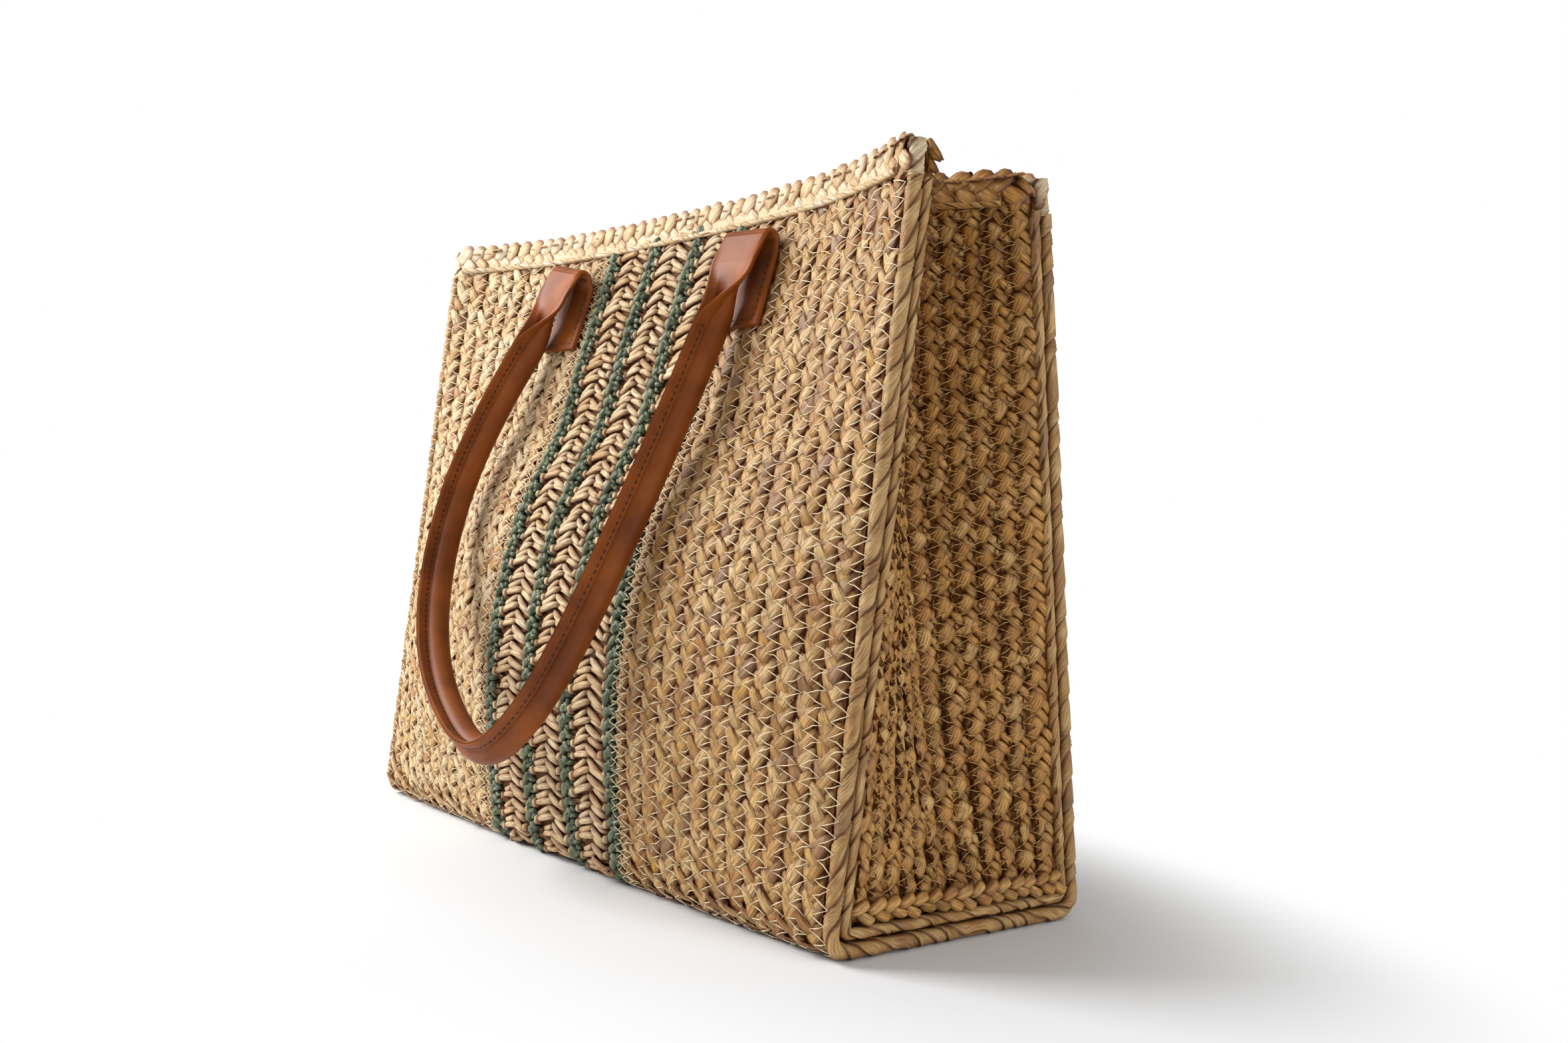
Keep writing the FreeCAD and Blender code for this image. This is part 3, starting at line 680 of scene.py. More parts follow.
def edge_line(x, inset, corner, top=CORD_TOP):
    """The line that a cord follows: down the front edge, along the floor and up the back."""
    stops = ((FRONT, top), (FRONT, inset), (BACK, inset), (BACK, top))
    corners = [np.array([x, face["side"] * (edge_depth(face, z) - inset), z])
               for face, z in stops]
    line = [corners[0][None]]
    for before, turn, after in zip(corners, corners[1:], corners[2:]):
        back, ahead = unit(before - turn), unit(after - turn)
        line.append(bend(turn + back * corner, turn, turn + ahead * corner,
                         np.linspace(0, 1, 9)[:, None]))
    line.append(corners[-1][None])
    points = np.concatenate(line)
    return points, np.zeros_like(points)


def wrapped_tree():
    """A cord wound with broad leaves. Its outline has one ramp for each leaf, and it twists."""
    tree, sizes = new_tree("wrapped cord", {
        "Radius": "Float", "Starts": "Float", "Twist length": "Float", "Step": "Float",
        "Seed": "Int", "Material": "Material"})
    curve = add(tree, "GeometryNodeMeshToCurve", {"Mesh": sizes["Geometry"]})
    spacing = add(tree, "ShaderNodeMath", {0: sizes["Radius"], 1: 0.5}, operation="MULTIPLY")
    even = add(tree, "GeometryNodeResampleCurve",
               {"Curve": curve, "Length": spacing}, mode="LENGTH")
    measure = add(tree, "GeometryNodeSplineParameter")
    turns = add(tree, "ShaderNodeMath", {0: measure.outputs["Length"], 1: sizes["Twist length"]},
                operation="DIVIDE")
    slow = add(tree, "ShaderNodeTexNoise", {"W": turns, "Scale": 0.9, "Detail": 1.0},
               noise_dimensions="1D")
    uneven = add(tree, "ShaderNodeMath", {0: turns, 1: slow.outputs["Fac"]}, operation="ADD")
    angle = add(tree, "ShaderNodeMath", {0: uneven, 1: 2 * math.pi}, operation="MULTIPLY")
    twisted = add(tree, "GeometryNodeSetCurveTilt", {"Curve": even, "Tilt": angle})
    measured = add(tree, "GeometryNodeStoreNamedAttribute",
                   {"Geometry": twisted, "Name": "along", "Value": measure.outputs["Length"]},
                   domain="POINT", data_type="FLOAT")
    ring = add(tree, "GeometryNodeCurvePrimitiveCircle",
               {"Resolution": OUTLINE_POINTS, "Radius": sizes["Radius"]})
    index = add(tree, "GeometryNodeInputIndex")
    round_share = add(tree, "ShaderNodeMath", {0: index, 1: OUTLINE_POINTS}, operation="DIVIDE")
    round_ring = add(tree, "GeometryNodeStoreNamedAttribute",
                     {"Geometry": ring, "Name": "around", "Value": round_share}, domain="POINT",
                     data_type="FLOAT")
    lap = add(tree, "ShaderNodeMath", {0: round_share, 1: sizes["Starts"]}, operation="MULTIPLY")
    ramp = add(tree, "ShaderNodeMath", {0: lap}, operation="FRACT")
    bulge = add(tree, "ShaderNodeMath", {0: ramp, 1: 0.45}, operation="POWER")
    drop = add(tree, "ShaderNodeMath", {0: 1.0, 1: bulge}, operation="SUBTRACT")
    depth = add(tree, "ShaderNodeMath", {0: drop, 1: sizes["Step"]}, operation="MULTIPLY")
    keep = add(tree, "ShaderNodeMath", {0: 1.0, 1: depth}, operation="SUBTRACT")
    where = add(tree, "GeometryNodeInputPosition")
    pressed = add(tree, "ShaderNodeVectorMath", {0: where, "Scale": keep}, operation="SCALE")
    outline = add(tree, "GeometryNodeSetPosition", {"Geometry": round_ring, "Position": pressed})
    cord = add(tree, "GeometryNodeCurveToMesh",
               {"Curve": measured, "Profile Curve": outline, "Fill Caps": True})
    along = add(tree, "GeometryNodeInputNamedAttribute", {"Name": "along"}, data_type="FLOAT")
    around = add(tree, "GeometryNodeInputNamedAttribute", {"Name": "around"}, data_type="FLOAT")
    girth = add(tree, "ShaderNodeMath", {0: sizes["Radius"], 1: 6.28}, operation="MULTIPLY")
    across = add(tree, "ShaderNodeMath", {0: around, 1: girth}, operation="MULTIPLY")
    grain = add(tree, "ShaderNodeCombineXYZ", {0: along, 1: across})
    leaf_place = add(tree, "ShaderNodeMath", {0: around, 1: sizes["Starts"]}, operation="MULTIPLY")
    in_leaf = add(tree, "ShaderNodeMath", {0: leaf_place}, operation="FRACT")
    # Painted shadow: each leaf is darkened at its start, just below the step where the turn before
    # it laps over.
    lap_shadow_mask = add(tree, "ShaderNodeMapRange",
                 {"Value": in_leaf, "From Min": 0.0, "From Max": LAP_SHADOW, "To Min": 1.0,
                  "To Max": 0.0})
    inside_leaf = add(tree, "ShaderNodeMath", {0: leaf_place, 1: 0.001}, operation="ADD")
    leaf_number = add(tree, "ShaderNodeMath", {0: inside_leaf}, operation="FLOOR")
    change = add(tree, "ShaderNodeMath", {0: leaf_number, 1: 7.3}, operation="MULTIPLY")
    stretch = add(tree, "ShaderNodeMath", {0: along, 1: 22.0}, operation="MULTIPLY")
    key = add(tree, "ShaderNodeCombineXYZ", {0: stretch, 1: change, 2: sizes["Seed"]})
    tone = add(tree, "ShaderNodeTexNoise", {"Vector": key, "Scale": 1.0, "Detail": 1.0})
    wide = add(tree, "ShaderNodeMapRange", {"Value": tone.outputs["Fac"], "From Min": 0.3,
                                            "From Max": 0.7})
    marked = cord
    for name, value, kind in (("fibre", grain, "FLOAT_VECTOR"), ("hidden", lap_shadow_mask, "FLOAT"),
                              ("tint", wide, "FLOAT")):
        marked = add(tree, "GeometryNodeStoreNamedAttribute",
                     {"Geometry": marked, "Name": name, "Value": value}, domain="POINT",
                     data_type=kind)
    close_tree(tree, marked, sizes["Material"])
    return tree


wrapped = wrapped_tree()
WRAP_SIZES = {"Radius": SIDE_RADIUS * MM, "Starts": 2.0, "Twist length": 27 * MM, "Step": 0.34,
              "Material": cord_straw}
for side_name, side in SIDES:
    cord = grow(f"{side_name}_edge_wrapping", [edge_line(side * CORD_LINE_X, SIDE_RADIUS, 10.6)],
                wrapped, {**WRAP_SIZES, "Seed": 1 + side}, "bag")
    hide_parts(f"{side_name}_side_cord")
    inset = 2 * SIDE_RADIUS + FIT_GAP + GUSSET_CORD_RADIUS
    cord = grow(f"{side_name}_gusset_wrapping", [edge_line(side * CORD_LINE_X, inset, 3.3)],
                wrapped, {**WRAP_SIZES, "Radius": GUSSET_CORD_RADIUS * MM,
                          "Twist length": 30 * MM, "Seed": 5 + side}, "bag")
    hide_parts(f"{side_name}_gusset_cord")


# The gussets: broader plait, in straw that has darkened, sewn in upright rows. Each is flat at
# its foot and folds inwards towards the mouth.
GUSSET_FACE_X = CORD_LINE_X + SIDE_RADIUS / 4
GUSSET_EDGE = 2 * SIDE_RADIUS + 2 * FIT_GAP + 2 * GUSSET_CORD_RADIUS
GUSSET_FOLD = 62.0
FOLD_POWER = 0.65
FOLD_SOFTNESS = 0.12
GUSSET_THICKNESS = 4.5
GUSSET_ROW_COUNT = 12
GUSSET_PITCH = 11.7

gusset_straw = fibrous(
    "split straw, darkened",
    [(0.0, "#E6B262"), (0.25, "#D69C4C"), (0.45, "#F0C478"), (0.62, "#CE9140"), (0.8, "#E2AA58"),
     (0.9, "#C48A44"), (1.0, "#B89044")],
    "#5C2C06", 0.4, 0.75, 0.9)


def gusset_ends(height):
    """How far a gusset reaches to the front and to the back at one height."""
    return [face["side"] * (edge_depth(face, height) - GUSSET_EDGE) for face in (FRONT, BACK)]


def gusset_points(side, height, shares):
    """Points of a gusset's outer face at one height, at shares of its length there."""
    share = max(0.0, (height - GUSSET_EDGE) / (RIM - GUSSET_EDGE))
    t = np.linspace(0.0, 1.0, 121)
    soft = FOLD_SOFTNESS
    inward = (math.sqrt(1 + soft ** 2) - np.sqrt((2 * t - 1) ** 2 + soft ** 2))
    inward = inward / (math.sqrt(1 + soft ** 2) - soft)
    front, back = gusset_ends(height)
    x = side * (GUSSET_FACE_X - GUSSET_FOLD * share ** FOLD_POWER * inward)
    y = front + (back - front) * t
    reach = np.concatenate([[0.0], np.cumsum(np.hypot(np.diff(x), np.diff(y)))])
    at = np.asarray(shares) * reach[-1]
    return np.column_stack([np.interp(at, reach, x), np.interp(at, reach, y),
                            np.full(len(at), height)])


def gusset_line(side, share, inset, low, high, inside=False):
    """An upright line on a gusset, and the direction that the gusset faces along it."""
    heights = np.linspace(low, high, round((high - low) / 6))
    shares = [max(share - 0.012, 0), share, min(share + 0.012, 1)]
    sample = np.stack([gusset_points(side, z, shares) for z in heights])
    facing = unit(np.cross(sample[:, 2] - sample[:, 0], np.gradient(sample[:, 1], axis=0))) * side
    points = sample[:, 1] - facing * inset
    return (points, -facing) if inside else (points, facing)


thread_golden = thread_material("straw sewing thread, darkened", "#E8C47A", "#CFA058")
gusset_fans = bunch("gusset_fan", lambda i: [
    leaf(13.6, 8.8, 30, (-2.3, 0.0), 1.9, 0.3, 0.6, 0.6, 0.9, 5.8, 1.5, 0.1, seed=200 + i)])
gusset_pairs = bunch("gusset_pair", lambda i: [
    leaf(14.2, 4.8, -42, (1.8, 4.4), 1.8, 0.0, -0.3, 0.3, 0.5, 5.8, 1.5, 0.05, (7, 5), 210 + i),
    leaf(13.0, 4.8, -40, (3.8, 8.8), 1.8, 0.0, -0.3, 0.3, 0.5, 5.8, 1.5, 0.05, (7, 5), 220 + i)])
GUSSET_SIZES = {**ROW_SIZES, "Pitch": GUSSET_PITCH * MM, "Left leaves": gusset_fans,
                "Right leaves": gusset_pairs, "Material": gusset_straw}

for side_name, side in SIDES:
    sheet = [gusset_line(side, share, 0.0, 15.5, 352.0) for share in np.linspace(0.005, 0.995, 61)]
    ground(f"{side_name}_gusset_ground", sheet[::side], GROUND_OUTSIDE, GROUND_INSIDE - 0.2,
           "darker_straw")
    shares = (np.arange(GUSSET_ROW_COUNT) + 0.5) / GUSSET_ROW_COUNT
    seams = np.arange(1, GUSSET_ROW_COUNT) / GUSSET_ROW_COUNT
    panel_rows = grow(f"{side_name}_gusset_outside",
                      [gusset_line(side, share, PLAIT_DEPTH, row_ends.uniform(16, 25), ends()[0])
                       for share in shares],
                      leaf_rows, {**GUSSET_SIZES, "Seed": 61 + side}, "bag")
    grow(f"{side_name}_gusset_inside",
         [gusset_line(side, share, GUSSET_THICKNESS - PLAIT_DEPTH, row_ends.uniform(14, 22),
                      ends()[0], True) for share in shares],
         leaf_rows, {**GUSSET_SIZES, "Seed": 65 + side}, "bag")
    grow(f"{side_name}_gusset_thread",
         [gusset_line(side, share, THREAD_DEPTH, 24, 342) for share in seams], zigzag,
         {**SEAM_SIZES, "Stitch": 3.3 * MM, "Reach": 4.4 * MM, "Radius": 0.2 * MM,
          "Material": thread_golden, "Seed": 69 + side}, "bag")
    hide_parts(f"{side_name}_gusset")


# A flat three-strand plait in the same straw hems the foot of each gusset. It is sewn on across
# the ends of the upright rows, just above the cords.
HEM_HEIGHT = 10.0
HEM_TOP = GUSSET_EDGE + HEM_HEIGHT
HEM_POINTS = 30
hem_upper = bunch("hem_upper", lambda i: [
    leaf(12.4, 5.0, -24, (-2.2, 0.0), 2.0, 0.1, 0.4, 0.6, 0.4, 5.0, 1.0, 0.06, seed=240 + i)])
hem_lower = bunch("hem_lower", lambda i: [
    leaf(12.4, 5.0, 24, (2.2, 4.4), 2.0, 0.1, -0.4, 0.6, 0.4, 5.0, 1.0, 0.06, seed=250 + i)])
for side_name, side in SIDES:
    front, back = gusset_ends(HEM_TOP)
    y = np.linspace(front + 3, back - 3, HEM_POINTS)[::side]
    line = np.column_stack([np.full(HEM_POINTS, side * (GUSSET_FACE_X + 1.4)), y,
                            np.full(HEM_POINTS, (GUSSET_EDGE + HEM_TOP) / 2)])
    facing = np.tile([side, 0.0, 0.0], (HEM_POINTS, 1))
    hem = grow(f"{side_name}_hem_plait", [(line, facing)], leaf_rows,
               {**GUSSET_SIZES, "Pitch": 9.0 * MM, "Left leaves": hem_upper,
                "Right leaves": hem_lower, "Seed": 71 + side}, "bag")
    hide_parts(f"{side_name}_gusset_hem")


# The mouth is bound with one more plait, folded over the rim and sewn through, with its lower
# edges rolled. The gussets' rims are bound in the same way in their darker straw.
WALLS = (("front", FRONT), ("back", BACK))
RIM_HALF = 213.5
RIM_POINTS = 72
BINDING_MIDDLE = 8.2
CREST_DROP = 1.9
ROLLED_EDGE_DROP = 14.8
rim_straw = fibrous(
    "split straw, bleached pale",
    [(0.0, "#F0DCB2"), (0.3, "#F8EAC8"), (0.6, "#E7CC98"), (0.85, "#EED8AA"), (1.0, "#D4B27A")],
    "#864C16", 0.6, 0.8, 0.5)
binding_upper = bunch("binding_upper", lambda i: [
    leaf(15.0, 9.6, -40, (-3.7, 0.0), 1.3, 0.1, 0.6, 0.5, 0.9, 8.0, 0.6, 0.1, seed=260 + i)])
binding_lower = bunch("binding_lower", lambda i: [
    leaf(14.4, 8.6, 38, (2.6, 4.9), 1.3, 0.1, -0.6, 0.5, 0.9, 8.0, 0.6, 0.1, seed=270 + i)])
binding_left = bunch("binding_left", lambda i: [
    leaf(14.5, 6.4, -24, (-2.3, 2.2), 1.2, 0.1, 0.5, 0.3, 0.7, 6.0, 1.6, 0.08, seed=280 + i)])
binding_right = bunch("binding_right", lambda i: [
    leaf(14.5, 6.4, 24, (2.3, 6.6), 1.2, 0.1, -0.5, 0.3, 0.7, 6.0, 1.6, 0.08, seed=290 + i)])


def lofted(loops):
    """Points and faces of a closed skin through loops of points, shaped (loops, points, 3)."""
    count, size = loops.shape[:2]
    start = (np.arange(count - 1)[:, None] * size + np.arange(size)[None, :]).ravel()
    after = (np.arange(count - 1)[:, None] * size + (np.arange(size)[None, :] + 1) % size).ravel()
    sides = np.column_stack([start, after, after + size, start + size])
    caps = (range(size)[::-1], range((count - 1) * size, count * size))
    points = loops.reshape(-1, 3)
    return points, outward(points, sides, caps)


def bind(name, contour, trim, thickness, straw_material, seed, slot):
    """Bind a rim. The contour gives the wall's outer line and its facing at a height.

    Trim leaves out its first and last points, so that the end leaves stay on the rim. The
    section of the ground under the leaves is given as offsets from the wall and drops.
    """
    def line(height, offset, inside=False):
        points, facing = contour(height)
        points = points + facing * offset
        points, facing = points[trim:-trim], facing[trim:-trim]
        return (points[::-1], -facing[::-1]) if inside else (points, facing)

    middle = RIM - BINDING_MIDDLE
    sizes = {**ROW_SIZES, "Turn": 0.05, "Pitch": 10.2 * MM, "Left leaves": binding_upper,
             "Right leaves": binding_lower, "Seed": seed, "Material": straw_material}
    rows = grow(f"{name}_plait", [line(middle, 0.2), line(middle, -thickness - 1.5, True)],
                leaf_rows, sizes, "bag")
    crest, _ = line(RIM - CREST_DROP, -thickness / 2 - 0.8)
    grow(f"{name}_fold", [(crest, np.tile([0.0, 0.0, 1.0], (len(crest), 1)))], leaf_rows,
         {**sizes, "Left leaves": binding_left, "Right leaves": binding_right, "Seed": seed + 1},
         "bag")
    edge = RIM - ROLLED_EDGE_DROP
    grow(f"{name}_rolled_edges", [line(edge, 1.1), line(edge, -thickness - 1.4)], wrapped,
         {**WRAP_SIZES, "Radius": 1.8 * MM, "Twist length": 15 * MM, "Step": 0.4,
          "Material": straw_material, "Seed": seed + 2}, "bag")
    section = [(0.6, 16.0), (0.6, 12.0), (0.5, 5.0), (0.0, 2.2), (-thickness / 2, 1.5),
               (-thickness - 0.4, 2.2), (-thickness - 1.6, 5.0), (-thickness - 1.6, 12.0),
               (-thickness - 0.9, 16.0)]
    loops = np.stack([line(RIM - drop, offset)[0] for offset, drop in section], axis=1)
    piece_from(f"{name}_ground", *lofted(loops[::-1]), straw_material, "bag", slot)
    return rows


def long_rim(face):
    """The contour of a long wall near the rim, for bind."""
    def contour(height):
        x = np.linspace(-RIM_HALF, RIM_HALF, RIM_POINTS)[::-face["side"]]
        y = face["side"] * wall_depth(face, x, height)
        points = np.column_stack([x, y, np.full(RIM_POINTS, height)])
        slope = np.gradient(y, x)
        facing = unit(np.column_stack([-slope, 0 * x + 1, 0 * x]) * face["side"])
        return points, facing
    return contour


def gusset_rim(side):
    """The contour of a gusset near the rim, for bind."""
    def contour(height):
        shares = np.linspace(0.0, 1.0, 41)[::side]
        points = gusset_points(side, height, shares)
        facing = unit(np.cross(np.gradient(points, axis=0), (0.0, 0.0, 1.0)))
        return points, facing
    return contour


for number, (name, face) in enumerate(WALLS):
    rows = bind(f"{name}_rim", long_rim(face), 2, STRAW_THICKNESS, rim_straw, 80 + 5 * number,
                "plaited_straw")
    climb = np.linspace(RIM - 19, RIM - 1.5, 10)
    corners = [np.column_stack([np.full(len(climb), end * (CORD_LINE_X - 1.5)),
                                face["side"] * (edge_depth(face, climb) - 4.6), climb])
               for end in (-1, 1)]
    grow(f"{name}_rim_ends", [(line, np.zeros_like(line)) for line in corners], wrapped,
         {**WRAP_SIZES, "Radius": 4.6 * MM, "Twist length": 24 * MM, "Material": rim_straw,
          "Seed": 97 + number}, "bag")
    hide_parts(f"{name}_rim_binding")
for number, (name, side) in enumerate(SIDES):
    rows = bind(f"{name}_gusset_rim", gusset_rim(side), 4, GUSSET_THICKNESS, gusset_straw,
                90 + 5 * number, "darker_straw")
    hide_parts(f"{name}_gusset_binding")


# The handles: tan leather rolled round a cord and sewn into a seam flange. At each end the
# leather opens out into a flat strap that folds over to a tab, sewn to the wall.
HINGE_Z = 328.0
HINGE_GAP = 6.3
HANDLE_LEAN = math.radians(19.5)
ATTACHMENT_X = 86.0
STRAP_HALF = 16.5
STRAP_END = 46.3
TUBE_RADIUS = 7.0
LEATHER = 2.0
FLANGE_TOP = 13.0
FOLD_RADIUS = 4.2
TAB_LOW = 283.0
TAB_GAP = 2.05
FOLD_DROP = 15
SEAM_DROP = 52
ARC_POINTS = 17
FLANGE_POINTS = 8
LOOP_ROUTE = [(-112, 85), (-119, 132), (-109, 181), (-84, 226), (-45, 261), (18, 288), (48, 258),
              (62, 212), (70, 162), (77, 110)]


def leather_material():
    """Waxed cowhide, drum dyed: tan with darker clouds, fine pores and a soft shine."""
    material, tree, surface = new_material("waxed cowhide, tan")
    place = add(tree, "ShaderNodeTexCoord")
    clouds = add(tree, "ShaderNodeTexNoise",
                 {"Vector": place.outputs["Object"], "Scale": 1 / (24 * MM), "Detail": 5.0})
    pores = add(tree, "ShaderNodeTexVoronoi",
                {"Vector": place.outputs["Object"], "Scale": 1 / (0.9 * MM)})
    ramp = add(tree, "ShaderNodeValToRGB", {"Fac": clouds.outputs["Fac"]})
    marks = ramp.color_ramp.elements
    marks[0].position, marks[0].color = 0.3, linear("#6E340B")
    marks[1].position, marks[1].color = 0.72, linear("#9B5218")
    tree.links.new(ramp.outputs["Color"], surface.inputs["Base Color"])
    rough = add(tree, "ShaderNodeMapRange", {"Value": clouds.outputs["Fac"], "To Min": 0.42,
                                             "To Max": 0.56})
    surface.inputs["Specular IOR Level"].default_value = 0.3
    tree.links.new(rough.outputs["Result"], surface.inputs["Roughness"])
    bump = add(tree, "ShaderNodeBump", {"Height": pores.outputs["Distance"], "Strength": 0.25,
                                        "Distance": 0.12 * MM})
    tree.links.new(bump.outputs["Normal"], surface.inputs["Normal"])
    return material


leather = leather_material()


def hinge_depth(face):
    """How far from the bag's middle plane a handle's hinge lies, clear of the wall behind it."""
    across = np.linspace(ATTACHMENT_X - STRAP_HALF, ATTACHMENT_X + STRAP_HALF, 15)
    return float(np.max(wall_depth(face, across, HINGE_Z - 6))) + HINGE_GAP


def smooth_route(corners, steps=9):
    """A smooth line that touches each run of a route at its middle."""
    corners = np.array(corners, float)
    middles = (corners[:-1] + corners[1:]) / 2
    t = np.linspace(0, 1, steps)[:-1, None]
    line = [corners[:1]]
    for before, turn, after in zip(middles, corners[1:-1], middles[1:]):
        line.append(bend(before, turn, after, t))
    line.append(middles[-1:])
    line.append(corners[-1:])
    return np.concatenate(line)


def rolled_outline():
    """Half of the leather's middle line round the tube, from underneath to the flange's tip."""
    angle = np.linspace(0, math.pi - 0.16, ARC_POINTS)
    arc = np.column_stack([np.sin(angle), -np.cos(angle)]) * (TUBE_RADIUS - LEATHER / 2)
    climb = np.linspace(TUBE_RADIUS, FLANGE_TOP - 0.5, FLANGE_POINTS)
    flange = np.column_stack([np.full(FLANGE_POINTS, 0.7), climb])
    return np.concatenate([arc, flange])


ROLLED = rolled_outline()
ROLLED_THICKNESS = np.concatenate([np.full(ARC_POINTS, LEATHER), np.full(FLANGE_POINTS, 1.3)])
SHARE = np.linspace(0.0, 1.0, len(ROLLED))


def leather_outline(roll, width, lift, curl, relief=0.0):
    """The closed outline of the leather, from flat (0) to rolled up and seamed (1).

    Its first half is the side that faces the bag on the strap, and outwards on a tab.
    """
    flat = np.column_stack([SHARE * width, curl * SHARE ** 6])
    half = flat * (1 - roll) + ROLLED * roll + [0, lift]
    run = unit(np.gradient(half, axis=0))
    normal = np.column_stack([run[:, 1], -run[:, 0]])
    thick = (ROLLED_THICKNESS * roll + 3.0 * (1 - roll))[:, None] / 2
    outer, inner = half + normal * (thick + np.reshape(relief, (-1, 1))), half - normal * thick
    tip = (outer[-1:] + inner[-1:]) / 2 + run[-1] * thick[-1] * 0.7
    flip = np.array([-1, 1])
    return np.concatenate([outer, tip, inner[::-1], inner[1:] * flip, tip * flip,
                           outer[:0:-1] * flip])


def hang(face):
    """The hinge of a handle, and the two directions of the flat loop that it hangs in."""
    side = face["side"]
    hinge = np.array([0.0, side * hinge_depth(face), HINGE_Z])
    down = np.array([0.0, side * math.sin(HANDLE_LEAN), -math.cos(HANDLE_LEAN)])
    outwards = np.array([0.0, side * math.cos(HANDLE_LEAN), math.sin(HANDLE_LEAN)])
    return hinge, down, outwards


def handle_loops(face):
    """The handle's outlines from one fold to the other, and its own line and its sideways."""
    hinge, down, outwards = hang(face)
    start = [(-ATTACHMENT_X, 0.0), (-ATTACHMENT_X - 4, 18.0), (-ATTACHMENT_X - 12, STRAP_END)]
    finish = [(ATTACHMENT_X - 4, STRAP_END), (ATTACHMENT_X - 1.3, 18.0), (ATTACHMENT_X, 0.0)]
    flat = smooth_route(start + LOOP_ROUTE + finish)
    reach = np.concatenate([[0], np.cumsum(np.linalg.norm(np.diff(flat, axis=0), axis=1))])
    steps = np.linspace(0, reach[-1], round(reach[-1] / 2.5))
    flat = np.column_stack([np.interp(steps, reach, flat[:, i]) for i in (0, 1)])
    centre = hinge + flat[:, :1] * np.array([1.0, 0, 0]) + flat[:, 1:] * down
    beside = np.cross(outwards, unit(np.gradient(centre, axis=0)))
    drops = np.minimum(steps, reach[-1] - steps)
    loops = []
    for i, drop in enumerate(drops):
        roll = np.clip((drop - FOLD_DROP) / 36, 0, 1)
        roll = roll * roll * (3 - 2 * roll)
        lift = FOLD_RADIUS * (1 - np.clip((drop - 16) / 26, 0, 1)) ** 1.5
        outline = leather_outline(roll, STRAP_HALF, lift, 1.6 * min(1.0, drop / 12))
        loops.append(centre[i] + outline[:, :1] * beside[i] + outline[:, 1:] * outwards)
    return np.stack(loops), drops, centre, beside


def tab_loops(face, x, beside):
    """The outlines over the fold and down the tab, following on from a strap."""
    side = face["side"]
    hinge, _, _ = hang(face)
    slope = float(wall_depth(face, x, TAB_LOW) - wall_depth(face, x, HINGE_Z)) / (HINGE_Z - TAB_LOW)
    loops = []
    for angle in np.linspace(HANDLE_LEAN, math.pi + math.atan(slope), 14):
        radial = np.array([0.0, side * math.cos(angle), math.sin(angle)])
        outline = leather_outline(0.0, STRAP_HALF, FOLD_RADIUS, 0.0)
        loops.append(hinge + [x, 0, 0] + outline[:, :1] * beside + outline[:, 1:] * radial)
    arc_end = loops[-1]
    for height in np.linspace(HINGE_Z - 3, TAB_LOW, 17):
        down_share = (HINGE_Z - height) / (HINGE_Z - TAB_LOW)
        near_end = max(0.0, 1 - (height - TAB_LOW) / 3.0)
        edge = np.clip((SHARE - 0.84) / 0.08, 0, 1)
        ridge = 1.3 * np.exp(-(SHARE / 0.22) ** 2) * (1 - down_share) ** 0.5
        relief = 0.45 * np.maximum(edge, near_end) + ridge
        outline = leather_outline(0.0, STRAP_HALF * (1 - 0.02 * near_end ** 2), 0.0, 0.0, relief)
        across = x + outline[:, 0] * beside[0]
        facing = np.array([0.0, side, slope]) / math.hypot(1, slope)
        wall = np.column_stack([across, side * (wall_depth(face, across, height) + TAB_GAP),
                                np.full(len(across), height)])
        loop = wall - outline[:, 1:] * facing
        ease = np.clip((HINGE_Z - height) / 9.0, 0, 1)
        hung = arc_end - (HINGE_Z - height) * np.array([0.0, -side * slope, 1.0])
        loops.append(hung * (1 - ease) + loop * ease)
    return loops


stitch_rows = row_tree("stitch rows", ("Stitches",))
sewing = bunch("leather_stitch", lambda i: [
    leaf(2.9, 1.15, 6, (0.0, 0.0), 0.5, lift=0.35, cells=(5, 4), seed=300 + i)])
waxed_thread = fibrous("waxed linen thread", [(0.0, "#3A1C0B"), (1.0, "#4A2610")], "#1E0D05", 0.5,
                       0.4, 0.1)
STITCH_SIZES = {"Stitches": sewing, "Pitch": 3.7 * MM, "Wander": 0.08 * MM, "Turn": 0.05,
                "Material": waxed_thread}


def tab_seam(face, x):
    """The line of stitches round a tab, just inside its turned edge."""
    side = face["side"]
    inset, low, high = STRAP_HALF - 3.6, TAB_LOW + 3.6, HINGE_Z - 7
    corners = [(-inset, high), (-inset, low), (inset, low), (inset, high)]
    legs = [np.linspace(a, b, 14) for a, b in zip(corners, corners[1:])]
    flat = np.concatenate([legs[0], legs[1][1:], legs[2][1:]])
    depth = wall_depth(face, x + flat[:, 0], flat[:, 1]) + TAB_GAP + 1.5
    points = np.column_stack([x + flat[:, 0], side * depth, flat[:, 1]])
    return points, np.tile([0.0, side * 0.966, 0.26], (len(points), 1))


